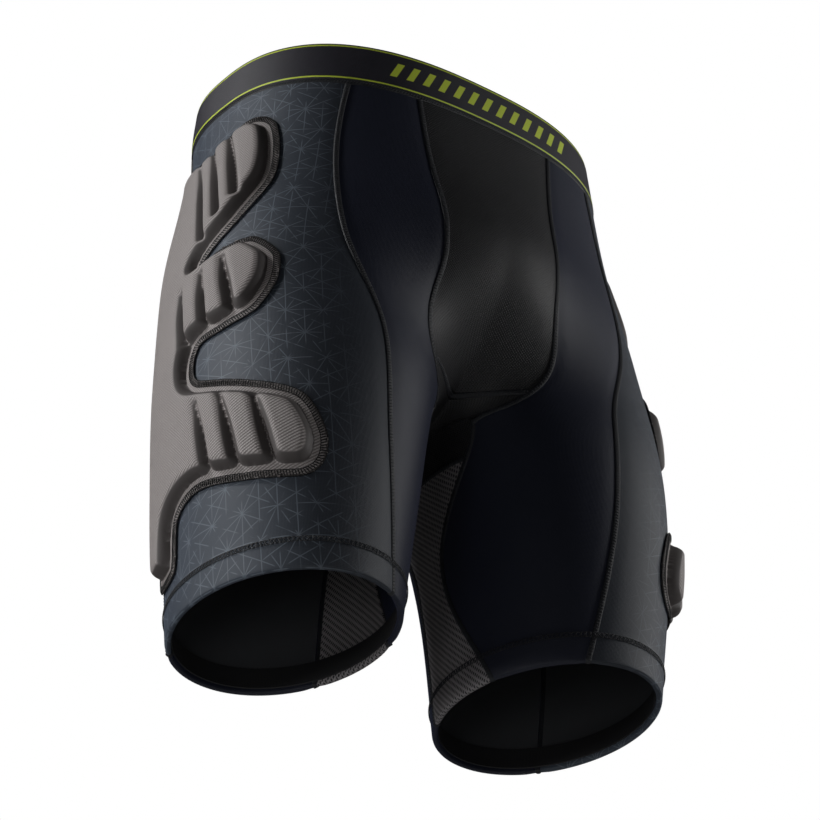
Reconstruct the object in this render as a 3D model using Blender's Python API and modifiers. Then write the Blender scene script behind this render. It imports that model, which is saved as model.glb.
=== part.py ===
"""Padded impact shorts: stretch shorts with a foam pad set sewn over each hip.

Metres, +Z up. The garment stands on its two leg hems with its front toward -Y, so the wearer's
right side is at -X. Every panel lies on one body surface, which section() describes level by
level: a closed loop round each thigh below the crotch, one loop round the hips above it.
A level is a height on the side line; the levels tilt toward the front near the waist.
"""

import math
from functools import lru_cache

import bmesh
import bpy
import numpy as np
from mathutils import Matrix, Vector

# Overall heights, measured up the side line from the leg hem.
WAIST_HEIGHT = 0.470
CROTCH_HEIGHT = 0.190
BAND_HEIGHT = 0.036
HEM_HEIGHT = 0.020
WAIST_TILT = 0.18  # how far the waist rises for each metre from front to back

# Half widths at the hem, mid thigh, crotch, hip, high hip and waist.
LEG_GAP_HALF = 0.037  # centre line to the inside of a leg hem
HEM_HALF_WIDTH = 0.068
THIGH_REACH = 0.183  # centre line to the outside of the mid thigh
CROTCH_REACH = 0.186
HIP_REACH = 0.178
HIGH_HIP_REACH = 0.162
WAIST_HALF_WIDTH = 0.150

# Depth in front of and behind the side line at the same six levels.
FRONT_DEPTHS = (0.120, 0.134, 0.140, 0.136, 0.126, 0.120)
BACK_DEPTHS = (0.060, 0.070, 0.092, 0.114, 0.120, 0.120)
MID_THIGH = 0.53  # share of the crotch height
HIP_LEVEL = 0.32  # shares of the way from the crotch to the waist
HIGH_HIP_LEVEL = 0.64
HIP_ROUNDNESS = 2.5  # exponent of the hip section: 2 is an ellipse
CROTCH_RISE = 0.150  # height over which the crotch curve runs forward to the belly
CROTCH_SOFTNESS = 0.13
POUCH_BULGE = 0.012
POUCH_BULGE_WIDTH = 0.075  # share of the half girth
POUCH_BULGE_FOOT = 0.04  # shares of the way from the crotch to the waist
POUCH_BULGE_RISE = 0.30
POUCH_BULGE_FALL = 0.36
POUCH_BULGE_BELOW_BAND = 0.030
PAD_BED = 0.0095  # how far the pad presses the hip in under its back edge
PAD_BED_TURN = 0.61  # share of the way round the half loop
PAD_BED_WIDTH = 0.12
PAD_BED_FADE = 0.260  # height from the hem over which the bed deepens
PAD_BED_TOP_FADE = 0.080
CREASE_HEIGHT = 0.014  # the fold where the loops open out at the crotch is eased this far
CREASE_EASE = ((-0.010, 0.12), (-0.005, 0.24), (0.0, 0.28), (0.005, 0.24), (0.010, 0.12))
CREASE_START = 0.05  # shares of the girth from the inseam
CREASE_RUN = 0.10

# Cloth, elastic and seams.
CLOTH = 0.0014
ELASTIC = 0.0022
SEAM_WIDTH = 0.0040
SEAM_THICKNESS = 0.0018
CLEARANCE = 0.0003
CROTCH_CLEARANCE = 0.0014  # beside the seams that turn sharply over the crotch
FACING = 0.0010
HEM_STITCH_WIDTH = 0.0030
HEM_STITCH_THICKNESS = 0.0006

# Seam lines: distances along the cloth at the hem, mid thigh, crotch, hip, high hip and waist.
FRONT_SEAM_FROM_SIDE = (0.155, 0.153, 0.153, 0.124, 0.110, 0.120)
BACK_SEAM_FROM_SIDE = (0.072, 0.074, 0.078, 0.078, 0.074, 0.070)
INNER_SEAM_FROM_INSEAM = (0.027, -0.010, 0.052, 0.048, 0.053, 0.061)
GUSSET_BACK_FROM_INSEAM = (0.050, 0.056, 0.052)
GUSSET_BACK_TIP = 0.004
GUSSET_DROP = 0.026  # below the crotch, down the inside of each leg
GUSSET_FRONT_RISE = 0.014
GUSSET_BACK_RISE = 0.022  # to where its two back seams meet
GUSSET_TIP = 0.75  # the gusset itself stops at this share of the back rise

# The hip pad. Reach is forward from the side line; the three fingers point forward.
PAD_BELOW_BAND = 0.032
PAD_ABOVE_HEM = 0.030
PAD_BACK_REACH = 0.060
TOP_FINGER_REACH = 0.071
MIDDLE_FINGER_REACH = 0.082
BOTTOM_FINGER_REACH = 0.106
NOTCH_REACH = 0.012
PAD_FLANGE = 0.009
PAD_FLANGE_THICKNESS = 0.0014
PAD_HEIGHT = 0.0080
PAD_WALL = 0.0012
PAD_LIFT = 0.0012  # between the side panel and the pad's underside
PAD_CELL = 0.021  # the pad bends in facets of about this size
EDGE_STITCH_WIDTH = 0.0045
EDGE_STITCH_THICKNESS = 0.0007
PAD_BEVEL = 0.35  # the pad's wall leans in by this share of its height

COLLECTION = "padded_impact_shorts"
BAND_BOTTOM = WAIST_HEIGHT - BAND_HEIGHT
RISE = WAIST_HEIGHT - CROTCH_HEIGHT
SECTION_SAMPLES = 361
SHARE_STEP = 0.002  # shares of the girth between the points that give a normal
LEVELS = (
    0.0,
    MID_THIGH * CROTCH_HEIGHT,
    CROTCH_HEIGHT,
    CROTCH_HEIGHT + HIP_LEVEL * RISE,
    CROTCH_HEIGHT + HIGH_HIP_LEVEL * RISE,
    WAIST_HEIGHT,
)
REACHES = (
    LEG_GAP_HALF + 2 * HEM_HALF_WIDTH,
    THIGH_REACH,
    CROTCH_REACH,
    HIP_REACH,
    HIGH_HIP_REACH,
    WAIST_HALF_WIDTH,
)


# ---------------------------------------------------------------- the body surface


def smooth(value):
    """0 below 0, 1 above 1, and a smooth step between."""
    value = np.clip(value, 0.0, 1.0)
    return value * value * (3 - 2 * value)


def soft_positive(value, softness):
    """The positive part of value, rounded off by softness."""
    return (value + np.sqrt(value * value + 4 * softness * softness)) / 2


def through(levels, sizes, level):
    """A smooth curve of sizes through the given levels."""
    levels = np.array(levels)
    sizes = np.array(sizes)
    slopes = np.gradient(sizes, levels)
    i = int(np.clip(np.searchsorted(levels, level) - 1, 0, len(levels) - 2))
    span = levels[i + 1] - levels[i]
    t = (level - levels[i]) / span
    start = sizes[i] * (1 + 2 * t) * (1 - t) ** 2 + slopes[i] * span * t * (1 - t) ** 2
    end = sizes[i + 1] * t * t * (3 - 2 * t) + slopes[i + 1] * span * t * t * (t - 1)
    return start + end


def section(turn, level):
    """X and Y of the left half's loop: turn runs 0 to 1 from the inseam or centre front, round
    the outside, to the inseam again or the centre back."""
    reach = through(LEVELS, REACHES, level)
    front = -through(LEVELS, FRONT_DEPTHS, level)
    back = through(LEVELS, BACK_DEPTHS, level)
    middle = (front + back) / 2
    half_depth = (back - front) / 2
    side, ahead = np.sin(math.pi * turn), np.cos(math.pi * turn)
    softness = CROTCH_SOFTNESS * side

    gap = LEG_GAP_HALF * np.sqrt(soft_positive(1 - level / CROTCH_HEIGHT, softness))
    leg_x = gap + (reach - gap) / 2 * (1 - np.cos(2 * math.pi * turn))
    leg_y = middle - half_depth * np.sin(2 * math.pi * turn)
    power = 2 / HIP_ROUNDNESS
    hip_x = reach * np.abs(side) ** power
    hip_y = middle - half_depth * np.sign(ahead) * np.abs(ahead) ** power

    run = np.clip(soft_positive((level - CROTCH_HEIGHT) / CROTCH_RISE, softness), 0, 1)
    hip_share = np.sqrt(run * (2 - run)) * smooth(level / CROTCH_HEIGHT)
    bulge_foot = CROTCH_HEIGHT + POUCH_BULGE_FOOT * RISE
    bulge_height = smooth((level - bulge_foot) / (POUCH_BULGE_RISE * RISE))
    bulge_top = BAND_BOTTOM - POUCH_BULGE_BELOW_BAND
    bulge_height *= smooth((bulge_top - level) / (POUCH_BULGE_FALL * RISE))
    bulge = POUCH_BULGE * np.exp(-((turn / POUCH_BULGE_WIDTH) ** 2)) * bulge_height
    bed_height = smooth(level / PAD_BED_FADE)
    bed_height *= smooth((WAIST_HEIGHT - BAND_HEIGHT / 2 - level) / PAD_BED_TOP_FADE)
    bed = PAD_BED * np.exp(-(((turn - PAD_BED_TURN) / PAD_BED_WIDTH) ** 2)) * bed_height
    x = (1 - hip_share) * leg_x + hip_share * hip_x - bed
    y = (1 - hip_share) * leg_y + hip_share * hip_y - bulge
    return x, y


@lru_cache(maxsize=None)
def loop(level):
    """The level's loop as lengths along the cloth, with X and Y at each."""
    turn = np.linspace(0, 1, SECTION_SAMPLES)
    x, y = section(turn, level)
    steps = np.hypot(np.diff(x), np.diff(y))
    return np.concatenate([[0.0], np.cumsum(steps)]), x, y


def girth(level):
    return loop(level)[0][-1]


@lru_cache(maxsize=None)
def centre_y():
    """Half way between the frontmost and rearmost cloth, which becomes Y = 0."""
    sides = [loop(level * WAIST_HEIGHT / 60)[2] for level in range(61)]
    return (min(y.min() for y in sides) + max(y.max() for y in sides)) / 2


def sharp_point(share, level):
    """The point a share of the girth along a level; a share past either end goes on round the
    thigh below the crotch, and over to the right half above it."""
    lengths, xs, ys = loop(level)
    mirror = 1
    if level <= CROTCH_HEIGHT:
        if not 0 <= share <= 1:
            share = share % 1
    elif share < 0:
        share, mirror = -share, -1
    elif share > 1:
        share, mirror = 2 - share, -1
    x = np.interp(share * lengths[-1], lengths, xs) * mirror
    y = np.interp(share * lengths[-1], lengths, ys)
    return Vector((x, y - centre_y(), level + tilt(level) * y))


def body_point(share, level):
    """The same, with the crease at the top of the thigh eased out away from the inseam."""
    point = sharp_point(share, level)
    near = math.exp(-(((level - CROTCH_HEIGHT) / CREASE_HEIGHT) ** 2))
    from_end = min(abs(share), abs(1 - share))
    near *= float(smooth((from_end - CREASE_START) / CREASE_RUN))
    if near < 0.01:
        return point
    reach = (share - 0.5) * girth(level)
    eased = Vector((0, 0, 0))
    for step, weight in CREASE_EASE:
        there = level + step
        eased += sharp_point(0.5 + reach / girth(there), there) * weight
    return point.lerp(eased, near)


def tilt(level):
    start = MID_THIGH * CROTCH_HEIGHT
    return WAIST_TILT * float(smooth((level - start) / (BAND_BOTTOM - start)))


def outward(share, level):
    """The unit normal of the surface. At the hem and the band it lies in the level's plane."""
    step = min(0.001, abs(level - CROTCH_HEIGHT) / 4 + 2e-5)
    along = body_point(share + SHARE_STEP, level) - body_point(share - SHARE_STEP, level)
    if level <= CROTCH_HEIGHT:
        up = body_point(share, max(level, step)) - body_point(share, max(level, step) - step)
    else:
        up = body_point(share, level + step) - body_point(share, level)
    normal = along.cross(up).normalized()
    if level <= HEM_HEIGHT or level >= BAND_BOTTOM - SEAM_WIDTH - 2 * CLEARANCE:
        plane = Vector((0, -tilt(level), 1)).normalized()
        normal = (normal - plane * normal.dot(plane)).normalized()
    return normal


def cloth_point(share, level, lift):
    """A point of the surface moved out by lift."""
    point = body_point(share, level) + outward(share, level) * lift
    on_centre = level >= CROTCH_HEIGHT and share in (0, 1)
    if on_centre:
        point.x = 0.0
    return point


# ---------------------------------------------------------------- seam lines


def front_seam(level):
    return 0.5 - through(LEVELS, FRONT_SEAM_FROM_SIDE, level) / girth(level)


def back_seam(level):
    return 0.5 + through(LEVELS, BACK_SEAM_FROM_SIDE, level) / girth(level)


def inner_seam(level):
    """The inner thigh panel's front edge, and above the crotch the pouch's edge."""
    return through(LEVELS, INNER_SEAM_FROM_INSEAM, level) / girth(level)


def gusset_back(level):
    """The inner thigh panel's and the gusset's back edge. It runs in to the centre back."""
    levels = LEVELS[:3] + (CROTCH_HEIGHT + GUSSET_BACK_RISE,)
    sizes = GUSSET_BACK_FROM_INSEAM + (GUSSET_BACK_TIP,)
    top = levels[-1]
    fade = max(0.0, 1 - max(0.0, level - top) / (GUSSET_BACK_RISE / 3))
    return 1 - through(levels, sizes, min(level, top)) * fade / girth(level)


def beside(seam, sign, reach=SEAM_WIDTH / 2 + CLEARANCE):
    """The line a fixed distance to one side of a seam."""
    return lambda level: seam(level) + sign * reach / girth(level)


def round_crotch(seam, sign):
    """The line beside a seam with the room that it needs as it turns over the crotch."""

    def line(level):
        near = math.exp(-(((level - CROTCH_HEIGHT) / GUSSET_DROP) ** 2))
        room = 2 * CLEARANCE + (CROTCH_CLEARANCE - 2 * CLEARANCE) * near
        return seam(level) + sign * (SEAM_WIDTH / 2 + room) / girth(level)

    return line


def centre_front(_level):
    return 0.0


def centre_back(_level):
    return 1.0


def beside_centre_back(level):
    """The edge of the centre back seam."""
    return 1 - SEAM_WIDTH / 2 / girth(level)


def back_panel_edge(level):
    """The back panel's inner edge: beside the gusset, then beside the centre back seam."""
    return round_crotch(gusset_back, -1)(level)


def level_rows():
    """Levels every 20 to 30 mm, and closer on both sides of the crotch."""
    below = CROTCH_HEIGHT - GUSSET_DROP
    beside_seam = SEAM_WIDTH / 2 + CLEARANCE
    rows = [HEM_HEIGHT + (below - HEM_HEIGHT) * i / 5 for i in range(5)]
    rows += [below - beside_seam, below + beside_seam]
    rows += [CROTCH_HEIGHT - GUSSET_DROP * (i / 4) ** 2 for i in (3, 2, 1, 0)]
    rows += [CROTCH_HEIGHT + GUSSET_FRONT_RISE * (i / 4) ** 2 for i in (1, 2, 3, 4)]
    above = CROTCH_HEIGHT + GUSSET_BACK_RISE
    rows += [above, above + GUSSET_BACK_RISE / 3]
    rows += [above + (BAND_BOTTOM - above) * i / 8 for i in range(1, 8)]
    return rows


def rows_from(start, end):
    return [start] + [r for r in level_rows() if start + 0.001 < r < end - 0.001] + [end]


# ---------------------------------------------------------------- mesh makers


def add_object(name, bm, material):
    mesh = bpy.data.meshes.new(name)
    bm.to_mesh(mesh)
    bm.free()
    mesh.materials.append(material)
    obj = bpy.data.objects.new(name, mesh)
    bpy.data.collections[COLLECTION].objects.link(obj)
    obj.parent = bpy.data.objects["shorts_frame"]
    return obj


def shell(grids, links, outer, inner, half=False):
    """A closed sheet between two offsets of the surface. A grid is a list of rows of (share,
    level) corners; links are the quads between grids; on a half piece an edge that lies in the
    centre plane stays open for the Mirror modifier."""
    bm = bmesh.new()
    edges = set()
    corners = {}

    def corner(key, lift):
        if (key, lift) not in corners:
            corners[key, lift] = bm.verts.new(cloth_point(key[0], key[1], lift))
        return corners[key, lift]

    quads = list(links)
    for grid in grids:
        for low, high in zip(grid, grid[1:]):
            for i in range(len(low) - 1):
                quads.append((low[i], low[i + 1], high[i + 1], high[i]))
    for quad in quads:
        edges.update((quad[i], quad[(i + 1) % 4]) for i in range(4))
        bm.faces.new([corner(key, outer) for key in quad])
        bm.faces.new([corner(quad[i], inner) for i in (0, 3, 2, 1)])
    for a, b in sorted(edges):
        in_centre = all(key[1] >= CROTCH_HEIGHT and key[0] in (0, 1) for key in (a, b))
        if (b, a) in edges or (in_centre and half):
            continue
        bm.faces.new([corner(b, outer), corner(a, outer), corner(a, inner), corner(b, inner)])
    return bm


def grid_between(rows, left, right, columns):
    grid = []
    for level in rows:
        a, b = left(level), right(level)
        grid.append([(a + (b - a) * i / columns, level) for i in range(columns + 1)])
    return grid


def mirror_across(obj):
    modifier = obj.modifiers.new("both halves", "MIRROR")
    modifier.use_axis = (True, False, False)
    modifier.merge_threshold = 0.00001
    return obj


def pair(name, bm, material):
    """The left piece as made, and the right piece as its mirror image."""
    other = bm.copy()
    bmesh.ops.transform(other, matrix=Matrix.Scale(-1, 4, (1, 0, 0)), verts=other.verts)
    bmesh.ops.reverse_faces(other, faces=other.faces)
    return [add_object(f"left_{name}", bm, material), add_object(f"right_{name}", other, material)]


def panel_pair(name, rows, left, right, columns, material, lifts=(0.0, -CLOTH)):
    grid = grid_between(rows, left, right, columns)
    return pair(name, shell([grid], [], *lifts), material)


def seam_pair(name, seam, start, end, material):
    """A flatlock seam: a strip a little thicker than the cloth it joins."""
    proud = (SEAM_THICKNESS - CLOTH) / 2
    edges = [beside(seam, sign, SEAM_WIDTH / 2) for sign in (-1, 1)]
    panel_pair(name, rows_from(start, end), *edges, 1, material, (proud, -CLOTH - proud))


def centre_panel(name, rows, edge, columns, material, back=False, lifts=(0.0, -CLOTH)):
    """A panel across the centre front or centre back, made as a half and mirrored."""
    ends = (edge, centre_back) if back else (centre_front, edge)
    bm = shell([grid_between(rows, *ends, columns)], [], *lifts, half=True)
    return mirror_across(add_object(name, bm, material))


def waist_ring(name, start, end, material, lifts):
    """A band round the whole waist."""
    grid = grid_between([start, end], centre_front, centre_back, WAIST_COLUMNS)
    bm = shell([grid], [], *lifts, half=True)
    return mirror_across(add_object(name, bm, material))


# ---------------------------------------------------------------- cloth pieces

COLUMNS = {"inner": 4, "front": 4, "side": 8, "back": 6, "pouch": 2}
WAIST_COLUMNS = 22
SEAM_LOW = BAND_BOTTOM - SEAM_WIDTH


def panel_top():
    return SEAM_LOW - CLEARANCE


def make_front_thigh(material):
    rows = rows_from(0.0, panel_top())
    edges = round_crotch(inner_seam, 1), beside(front_seam, -1)
    panel_pair("front_thigh_panel", rows, *edges, COLUMNS["front"], material)


def make_side(material):
    rows = rows_from(0.0, panel_top())
    edges = beside(front_seam, 1), beside(back_seam, -1)
    panel_pair("side_panel", rows, *edges, COLUMNS["side"], material)


def make_back(material):
    rows = rows_from(0.0, panel_top())
    edges = beside(back_seam, 1), back_panel_edge
    panel_pair("back_panel", rows, *edges, COLUMNS["back"], material)


def make_inner_thigh(material):
    rows = rows_from(0.0, CROTCH_HEIGHT - GUSSET_DROP - SEAM_WIDTH / 2 - CLEARANCE)
    grid = [inner_row(level) for level in rows]
    pair("inner_thigh_mesh", shell([grid], [], 0.0, -CLOTH), material)


def inner_row(level):
    """Corners between the inner edges. On the crotch level the middle one is on the inseam."""
    back_line, front_line = inner_edges()
    low, high = back_line(level), front_line(level)
    middle = (low + high) / 2 * min(1.0, (CROTCH_HEIGHT - level) / GUSSET_DROP)
    half = COLUMNS["inner"] // 2
    back = [low + (middle - low) * i / half for i in range(half)]
    front = [middle + (high - middle) * i / half for i in range(half + 1)]
    return [(share, level) for share in back + front]


def inner_edges():
    """The two edges of what lies between the inner seam and the gusset's back seam."""
    back_edge = round_crotch(gusset_back, 1)
    return (lambda level: back_edge(level) - 1), round_crotch(inner_seam, -1)


def make_pouch(material):
    low = CROTCH_HEIGHT + GUSSET_FRONT_RISE + SEAM_WIDTH / 4 + CLEARANCE
    rows = rows_from(low, panel_top())
    edge = round_crotch(inner_seam, -1)
    centre_panel("front_mesh_pouch", rows, edge, COLUMNS["pouch"], material)


def make_gusset(material):
    """The saddle between the legs: round the inside of each thigh below the crotch, and up the
    centre front and centre back above it."""
    start = CROTCH_HEIGHT - GUSSET_DROP + SEAM_WIDTH / 2 + CLEARANCE
    front_top = CROTCH_HEIGHT + GUSSET_FRONT_RISE - SEAM_WIDTH / 4 - CLEARANCE
    back_top = CROTCH_HEIGHT + GUSSET_TIP * GUSSET_BACK_RISE
    columns = COLUMNS["inner"] // 2
    back_line, front_line = inner_edges()

    def front_row(level):
        return [(front_line(level) * i / columns, level) for i in range(columns + 1)]

    def back_row(level):
        edge = back_line(level)
        return [(1 + edge * i / columns if i else 1, level) for i in range(columns, -1, -1)]

    below = [inner_row(level) for level in rows_from(start, CROTCH_HEIGHT)]
    front = [front_row(level) for level in rows_from(CROTCH_HEIGHT, front_top)[1:]]
    back = [back_row(level) for level in rows_from(CROTCH_HEIGHT, back_top)[1:]]
    crotch = below[-1]
    links = []
    for i in range(columns):
        links.append((crotch[i], crotch[i + 1], back[0][i + 1], back[0][i]))
        j = columns + i
        links.append((crotch[j], crotch[j + 1], front[0][i + 1], front[0][i]))
    bm = shell([below, front, back], links, 0.0, -CLOTH, half=True)
    mirror_across(add_object("crotch_gusset", bm, material))


def leg_columns(level):
    """Every panel corner round a leg at one level, from the inner panel round to it again."""
    spans = (
        (round_crotch(inner_seam, 1), beside(front_seam, -1), COLUMNS["front"]),
        (beside(front_seam, 1), beside(back_seam, -1), COLUMNS["side"]),
        (beside(back_seam, 1), back_panel_edge, COLUMNS["back"]),
    )
    shares = [share for share, _ in inner_row(level)]
    for left, right, columns in spans:
        a, b = left(level), right(level)
        shares += [a + (b - a) * i / columns for i in range(columns + 1)]
    return [(share, level) for share in shares]


def leg_ring(name, start, end, material, lifts):
    """A band round each leg whose facets follow the panels it lies on."""
    grid = [leg_columns(start), leg_columns(end)]
    low, high = grid
    link = (low[-1], low[0], high[0], high[-1])
    pair(name, shell([grid], [link], *lifts), material)


def make_hems(facing, thread):
    inside = -CLOTH - (SEAM_THICKNESS - CLOTH) / 2 - CLEARANCE
    leg_ring("leg_hem_facing", 0.0, HEM_HEIGHT, facing, (inside, inside - FACING))
    outside = (SEAM_THICKNESS - CLOTH) / 2 + CLEARANCE
    start = HEM_HEIGHT - HEM_STITCH_WIDTH
    lifts = (outside + HEM_STITCH_THICKNESS, outside)
    leg_ring("hem_cover_stitch", start, HEM_HEIGHT, thread, lifts)


def make_waist(elastic, thread):
    extra = (ELASTIC - CLOTH) / 2
    start = BAND_BOTTOM + CLEARANCE
    waist_ring("waistband_elastic", start, WAIST_HEIGHT, elastic, (extra, -CLOTH - extra))
    proud = (SEAM_THICKNESS - CLOTH) / 2
    waist_ring("waist_seam", SEAM_LOW, BAND_BOTTOM, thread, (proud, -CLOTH - proud))


def make_seams(thread):
    top = panel_top()
    gusset_front = CROTCH_HEIGHT + GUSSET_FRONT_RISE
    seam_pair("inner_thigh_seam", inner_seam, 0.0, gusset_front - CLEARANCE / 2, thread)
    seam_pair("pouch_seam", inner_seam, gusset_front + CLEARANCE / 2, top, thread)
    seam_pair("front_side_seam", front_seam, 0.0, top, thread)
    seam_pair("side_back_seam", back_seam, 0.0, top, thread)
    seam_pair("inner_back_seam", gusset_back, 0.0, CROTCH_HEIGHT + GUSSET_BACK_RISE, thread)

    proud = (SEAM_THICKNESS - CLOTH) / 2
    lifts = (proud, -CLOTH - proud)
    half = SEAM_WIDTH / 4
    rows = [gusset_front - half, gusset_front + half]
    centre_panel("pouch_gusset_seam", rows, round_crotch(inner_seam, -1), 2, thread, lifts=lifts)
    middle = CROTCH_HEIGHT - GUSSET_DROP
    rows = [middle - SEAM_WIDTH / 2, middle + SEAM_WIDTH / 2]
    grid = [inner_row(level) for level in rows]
    pair("gusset_leg_seam", shell([grid], [], *lifts), thread)
    start = CROTCH_HEIGHT + GUSSET_BACK_RISE + CLEARANCE
    rows = rows_from(start, top)
    centre_panel("centre_back_seam", rows, beside_centre_back, 1, thread, back=True, lifts=lifts)


# ---------------------------------------------------------------- the hip pads


def pad_frame():
    """The pad's lowest and highest levels."""
    return PAD_ABOVE_HEM, BAND_BOTTOM - PAD_BELOW_BAND


def pad_outline():
    """Corners of the pad as (reach forward of the side line, share of the pad's height)."""
    top, middle, low = TOP_FINGER_REACH, MIDDLE_FINGER_REACH, BOTTOM_FINGER_REACH
    notch = NOTCH_REACH
    return (
        (-PAD_BACK_REACH, 0.94), (-PAD_BACK_REACH * 0.7, 0.99),
        (0.0, 0.97), (top * 0.6, 1.0), (top * 0.9, 0.97), (top, 0.87),
        (top * 0.96, 0.79), (top * 0.65, 0.70), (notch * 1.3, 0.635),
        (middle * 0.5, 0.640), (middle * 0.78, 0.64), (middle, 0.585),
        (middle * 0.98, 0.51), (middle * 0.8, 0.445), (middle * 0.5, 0.425),
        (notch * 1.4, 0.418), (notch * 0.8, 0.375), (notch * 1.4, 0.335),
        (low * 0.55, 0.285), (low * 0.88, 0.24), (low, 0.165),
        (low * 0.98, 0.11), (low * 0.85, 0.082), (low * 0.5, 0.092),
        (notch, 0.113), (-PAD_BACK_REACH * 0.22, 0.09), (-PAD_BACK_REACH * 0.33, 0.0),
        (-PAD_BACK_REACH * 0.95, 0.02), (-PAD_BACK_REACH * 1.05, 0.2), (-PAD_BACK_REACH, 0.55),
    )


def flat_outline():
    """The outline in metres on the flat: reach, and height above the pad's foot."""
    low, high = pad_frame()
    return [Vector((x, share * (high - low), 0)) for x, share in pad_outline()]


def inset(points, distance):
    """The outline moved inward, with mitred corners."""
    moved = []
    for i, point in enumerate(points):
        before = (point - points[i - 1]).normalized()
        after = (points[(i + 1) % len(points)] - point).normalized()
        normals = [Vector((edge.y, -edge.x, 0)) for edge in (before, after)]
        miter = (normals[0] + normals[1]).normalized()
        moved.append(point + miter * distance / max(0.6, miter.dot(normals[0])))
    return moved


def stacked_loops(loops, capped=True):
    """A closed body through a list of (outline, height) loops, in order."""
    bm = bmesh.new()
    rings = [[bm.verts.new((p.x, p.y, height)) for p in points] for points, height in loops]
    pairs = list(zip(rings, rings[1:]))
    if not capped:
        pairs.append((rings[-1], rings[0]))
    for low, high in pairs:
        for i in range(len(low)):
            j = (i + 1) % len(low)
            bm.faces.new((low[i], low[j], high[j], high[i]))
    if capped:
        bm.faces.new(list(reversed(rings[0])))
        bm.faces.new(rings[-1])
    return bm


def cut_in_cells(bm):
    """Cuts every face along a square mesh of lines, so that the flat piece can bend."""
    low, high = pad_frame()
    cuts = [(Vector((0, y, 0)), Vector((0, 1, 0))) for y in steps_between(0, high - low)]
    reaches = steps_between(-PAD_BACK_REACH * 1.05, BOTTOM_FINGER_REACH)
    cuts += [(Vector((x, 0, 0)), Vector((1, 0, 0))) for x in reaches]
    for place, normal in cuts:
        everything = list(bm.verts) + list(bm.edges) + list(bm.faces)
        bmesh.ops.bisect_plane(bm, geom=everything, dist=1e-5, plane_co=place, plane_no=normal)


def steps_between(start, end):
    count = max(2, round((end - start) / PAD_CELL))
    return [start + (end - start) * (i + 0.5) / count for i in range(count)]


def lay_on_hip(bm):
    """Bends the flat piece round the side panel: X is the reach, Y the height, Z the lift."""
    low, _ = pad_frame()
    bmesh.ops.recalc_face_normals(bm, faces=bm.faces)
    bmesh.ops.triangulate(bm, faces=bm.faces)
    for vert in bm.verts:
        level = round(low + vert.co.y, 6)
        share = 0.5 - vert.co.x / girth(level)
        vert.co = cloth_point(share, level, PAD_LIFT + vert.co.z)
    bmesh.ops.reverse_faces(bm, faces=bm.faces)  # forward, up and outward are left-handed here


def make_pad_cover(material):
    """A fabric tray: a flat flange all round, and a raised pocket that the foam fills."""
    edge = flat_outline()
    foot = inset(edge, PAD_FLANGE)
    roof = inset(edge, PAD_FLANGE + PAD_HEIGHT * PAD_BEVEL)
    mouth = inset(edge, PAD_FLANGE + PAD_WALL)
    ceiling = inset(edge, PAD_FLANGE + PAD_HEIGHT * PAD_BEVEL + PAD_WALL)
    bm = stacked_loops([
        (ceiling, PAD_HEIGHT - PAD_WALL), (mouth, 0.0), (edge, 0.0),
        (edge, PAD_FLANGE_THICKNESS), (foot, PAD_FLANGE_THICKNESS), (roof, PAD_HEIGHT),
    ])
    cut_in_cells(bm)
    lay_on_hip(bm)
    pair("hip_pad_cover", bm, material)


def make_pad_foam(material):
    """The foam inside the cover."""
    edge = flat_outline()
    slack = PAD_FLANGE + PAD_WALL + 3 * CLEARANCE
    low = inset(edge, slack)
    high = inset(edge, slack + PAD_HEIGHT * PAD_BEVEL)
    roof = PAD_HEIGHT - PAD_WALL - 3 * CLEARANCE
    bm = stacked_loops([(low, 0.0), (high, roof)])
    cut_in_cells(bm)
    lay_on_hip(bm)
    pair("hip_pad_foam", bm, material)


def make_pad_stitch(material):
    """The overlock stitch round the flange."""
    edge = flat_outline()
    outer = inset(edge, CLEARANCE)
    inner = inset(edge, EDGE_STITCH_WIDTH)
    foot = PAD_FLANGE_THICKNESS + CLEARANCE
    roof = foot + EDGE_STITCH_THICKNESS
    bm = stacked_loops([(outer, foot), (outer, roof), (inner, roof), (inner, foot)], capped=False)
    cut_in_cells(bm)
    lay_on_hip(bm)
    pair("pad_edge_stitch", bm, material)


# ---------------------------------------------------------------- materials and assembly


def make_material(name, colour, roughness):
    material = bpy.data.materials.new(name)
    material.use_nodes = True
    shader = material.node_tree.nodes["Principled BSDF"]
    shader.inputs["Base Color"].default_value = (*colour, 1.0)
    shader.inputs["Roughness"].default_value = roughness
    shader.inputs["Metallic"].default_value = 0.0
    return material


def main():
    for obj in list(bpy.data.objects):
        bpy.data.objects.remove(obj, do_unlink=True)
    collection = bpy.data.collections.new(COLLECTION)
    bpy.context.scene.collection.children.link(collection)
    frame = bpy.data.objects.new("shorts_frame", None)
    collection.objects.link(frame)

    lycra = make_material("thigh_lycra", (0.020, 0.022, 0.030), 0.55)
    side = make_material("side_lycra", (0.050, 0.062, 0.074), 0.55)
    mesh = make_material("open_mesh", (0.014, 0.014, 0.016), 0.75)
    inner = make_material("inner_mesh", (0.040, 0.036, 0.036), 0.75)
    elastic = make_material("waist_elastic", (0.016, 0.016, 0.020), 0.65)
    thread = make_material("seam_thread", (0.030, 0.032, 0.036), 0.70)
    twill = make_material("pad_twill", (0.130, 0.115, 0.110), 0.70)
    foam = make_material("pad_foam", (0.060, 0.060, 0.065), 0.85)
    facing = make_material("hem_facing", (0.012, 0.012, 0.014), 0.70)

    make_waist(elastic, thread)
    make_pouch(mesh)
    make_front_thigh(lycra)
    make_side(side)
    make_back(lycra)
    make_inner_thigh(inner)
    make_gusset(mesh)
    make_hems(facing, thread)
    make_seams(thread)
    make_pad_cover(twill)
    make_pad_foam(foam)
    make_pad_stitch(thread)


main()
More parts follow.
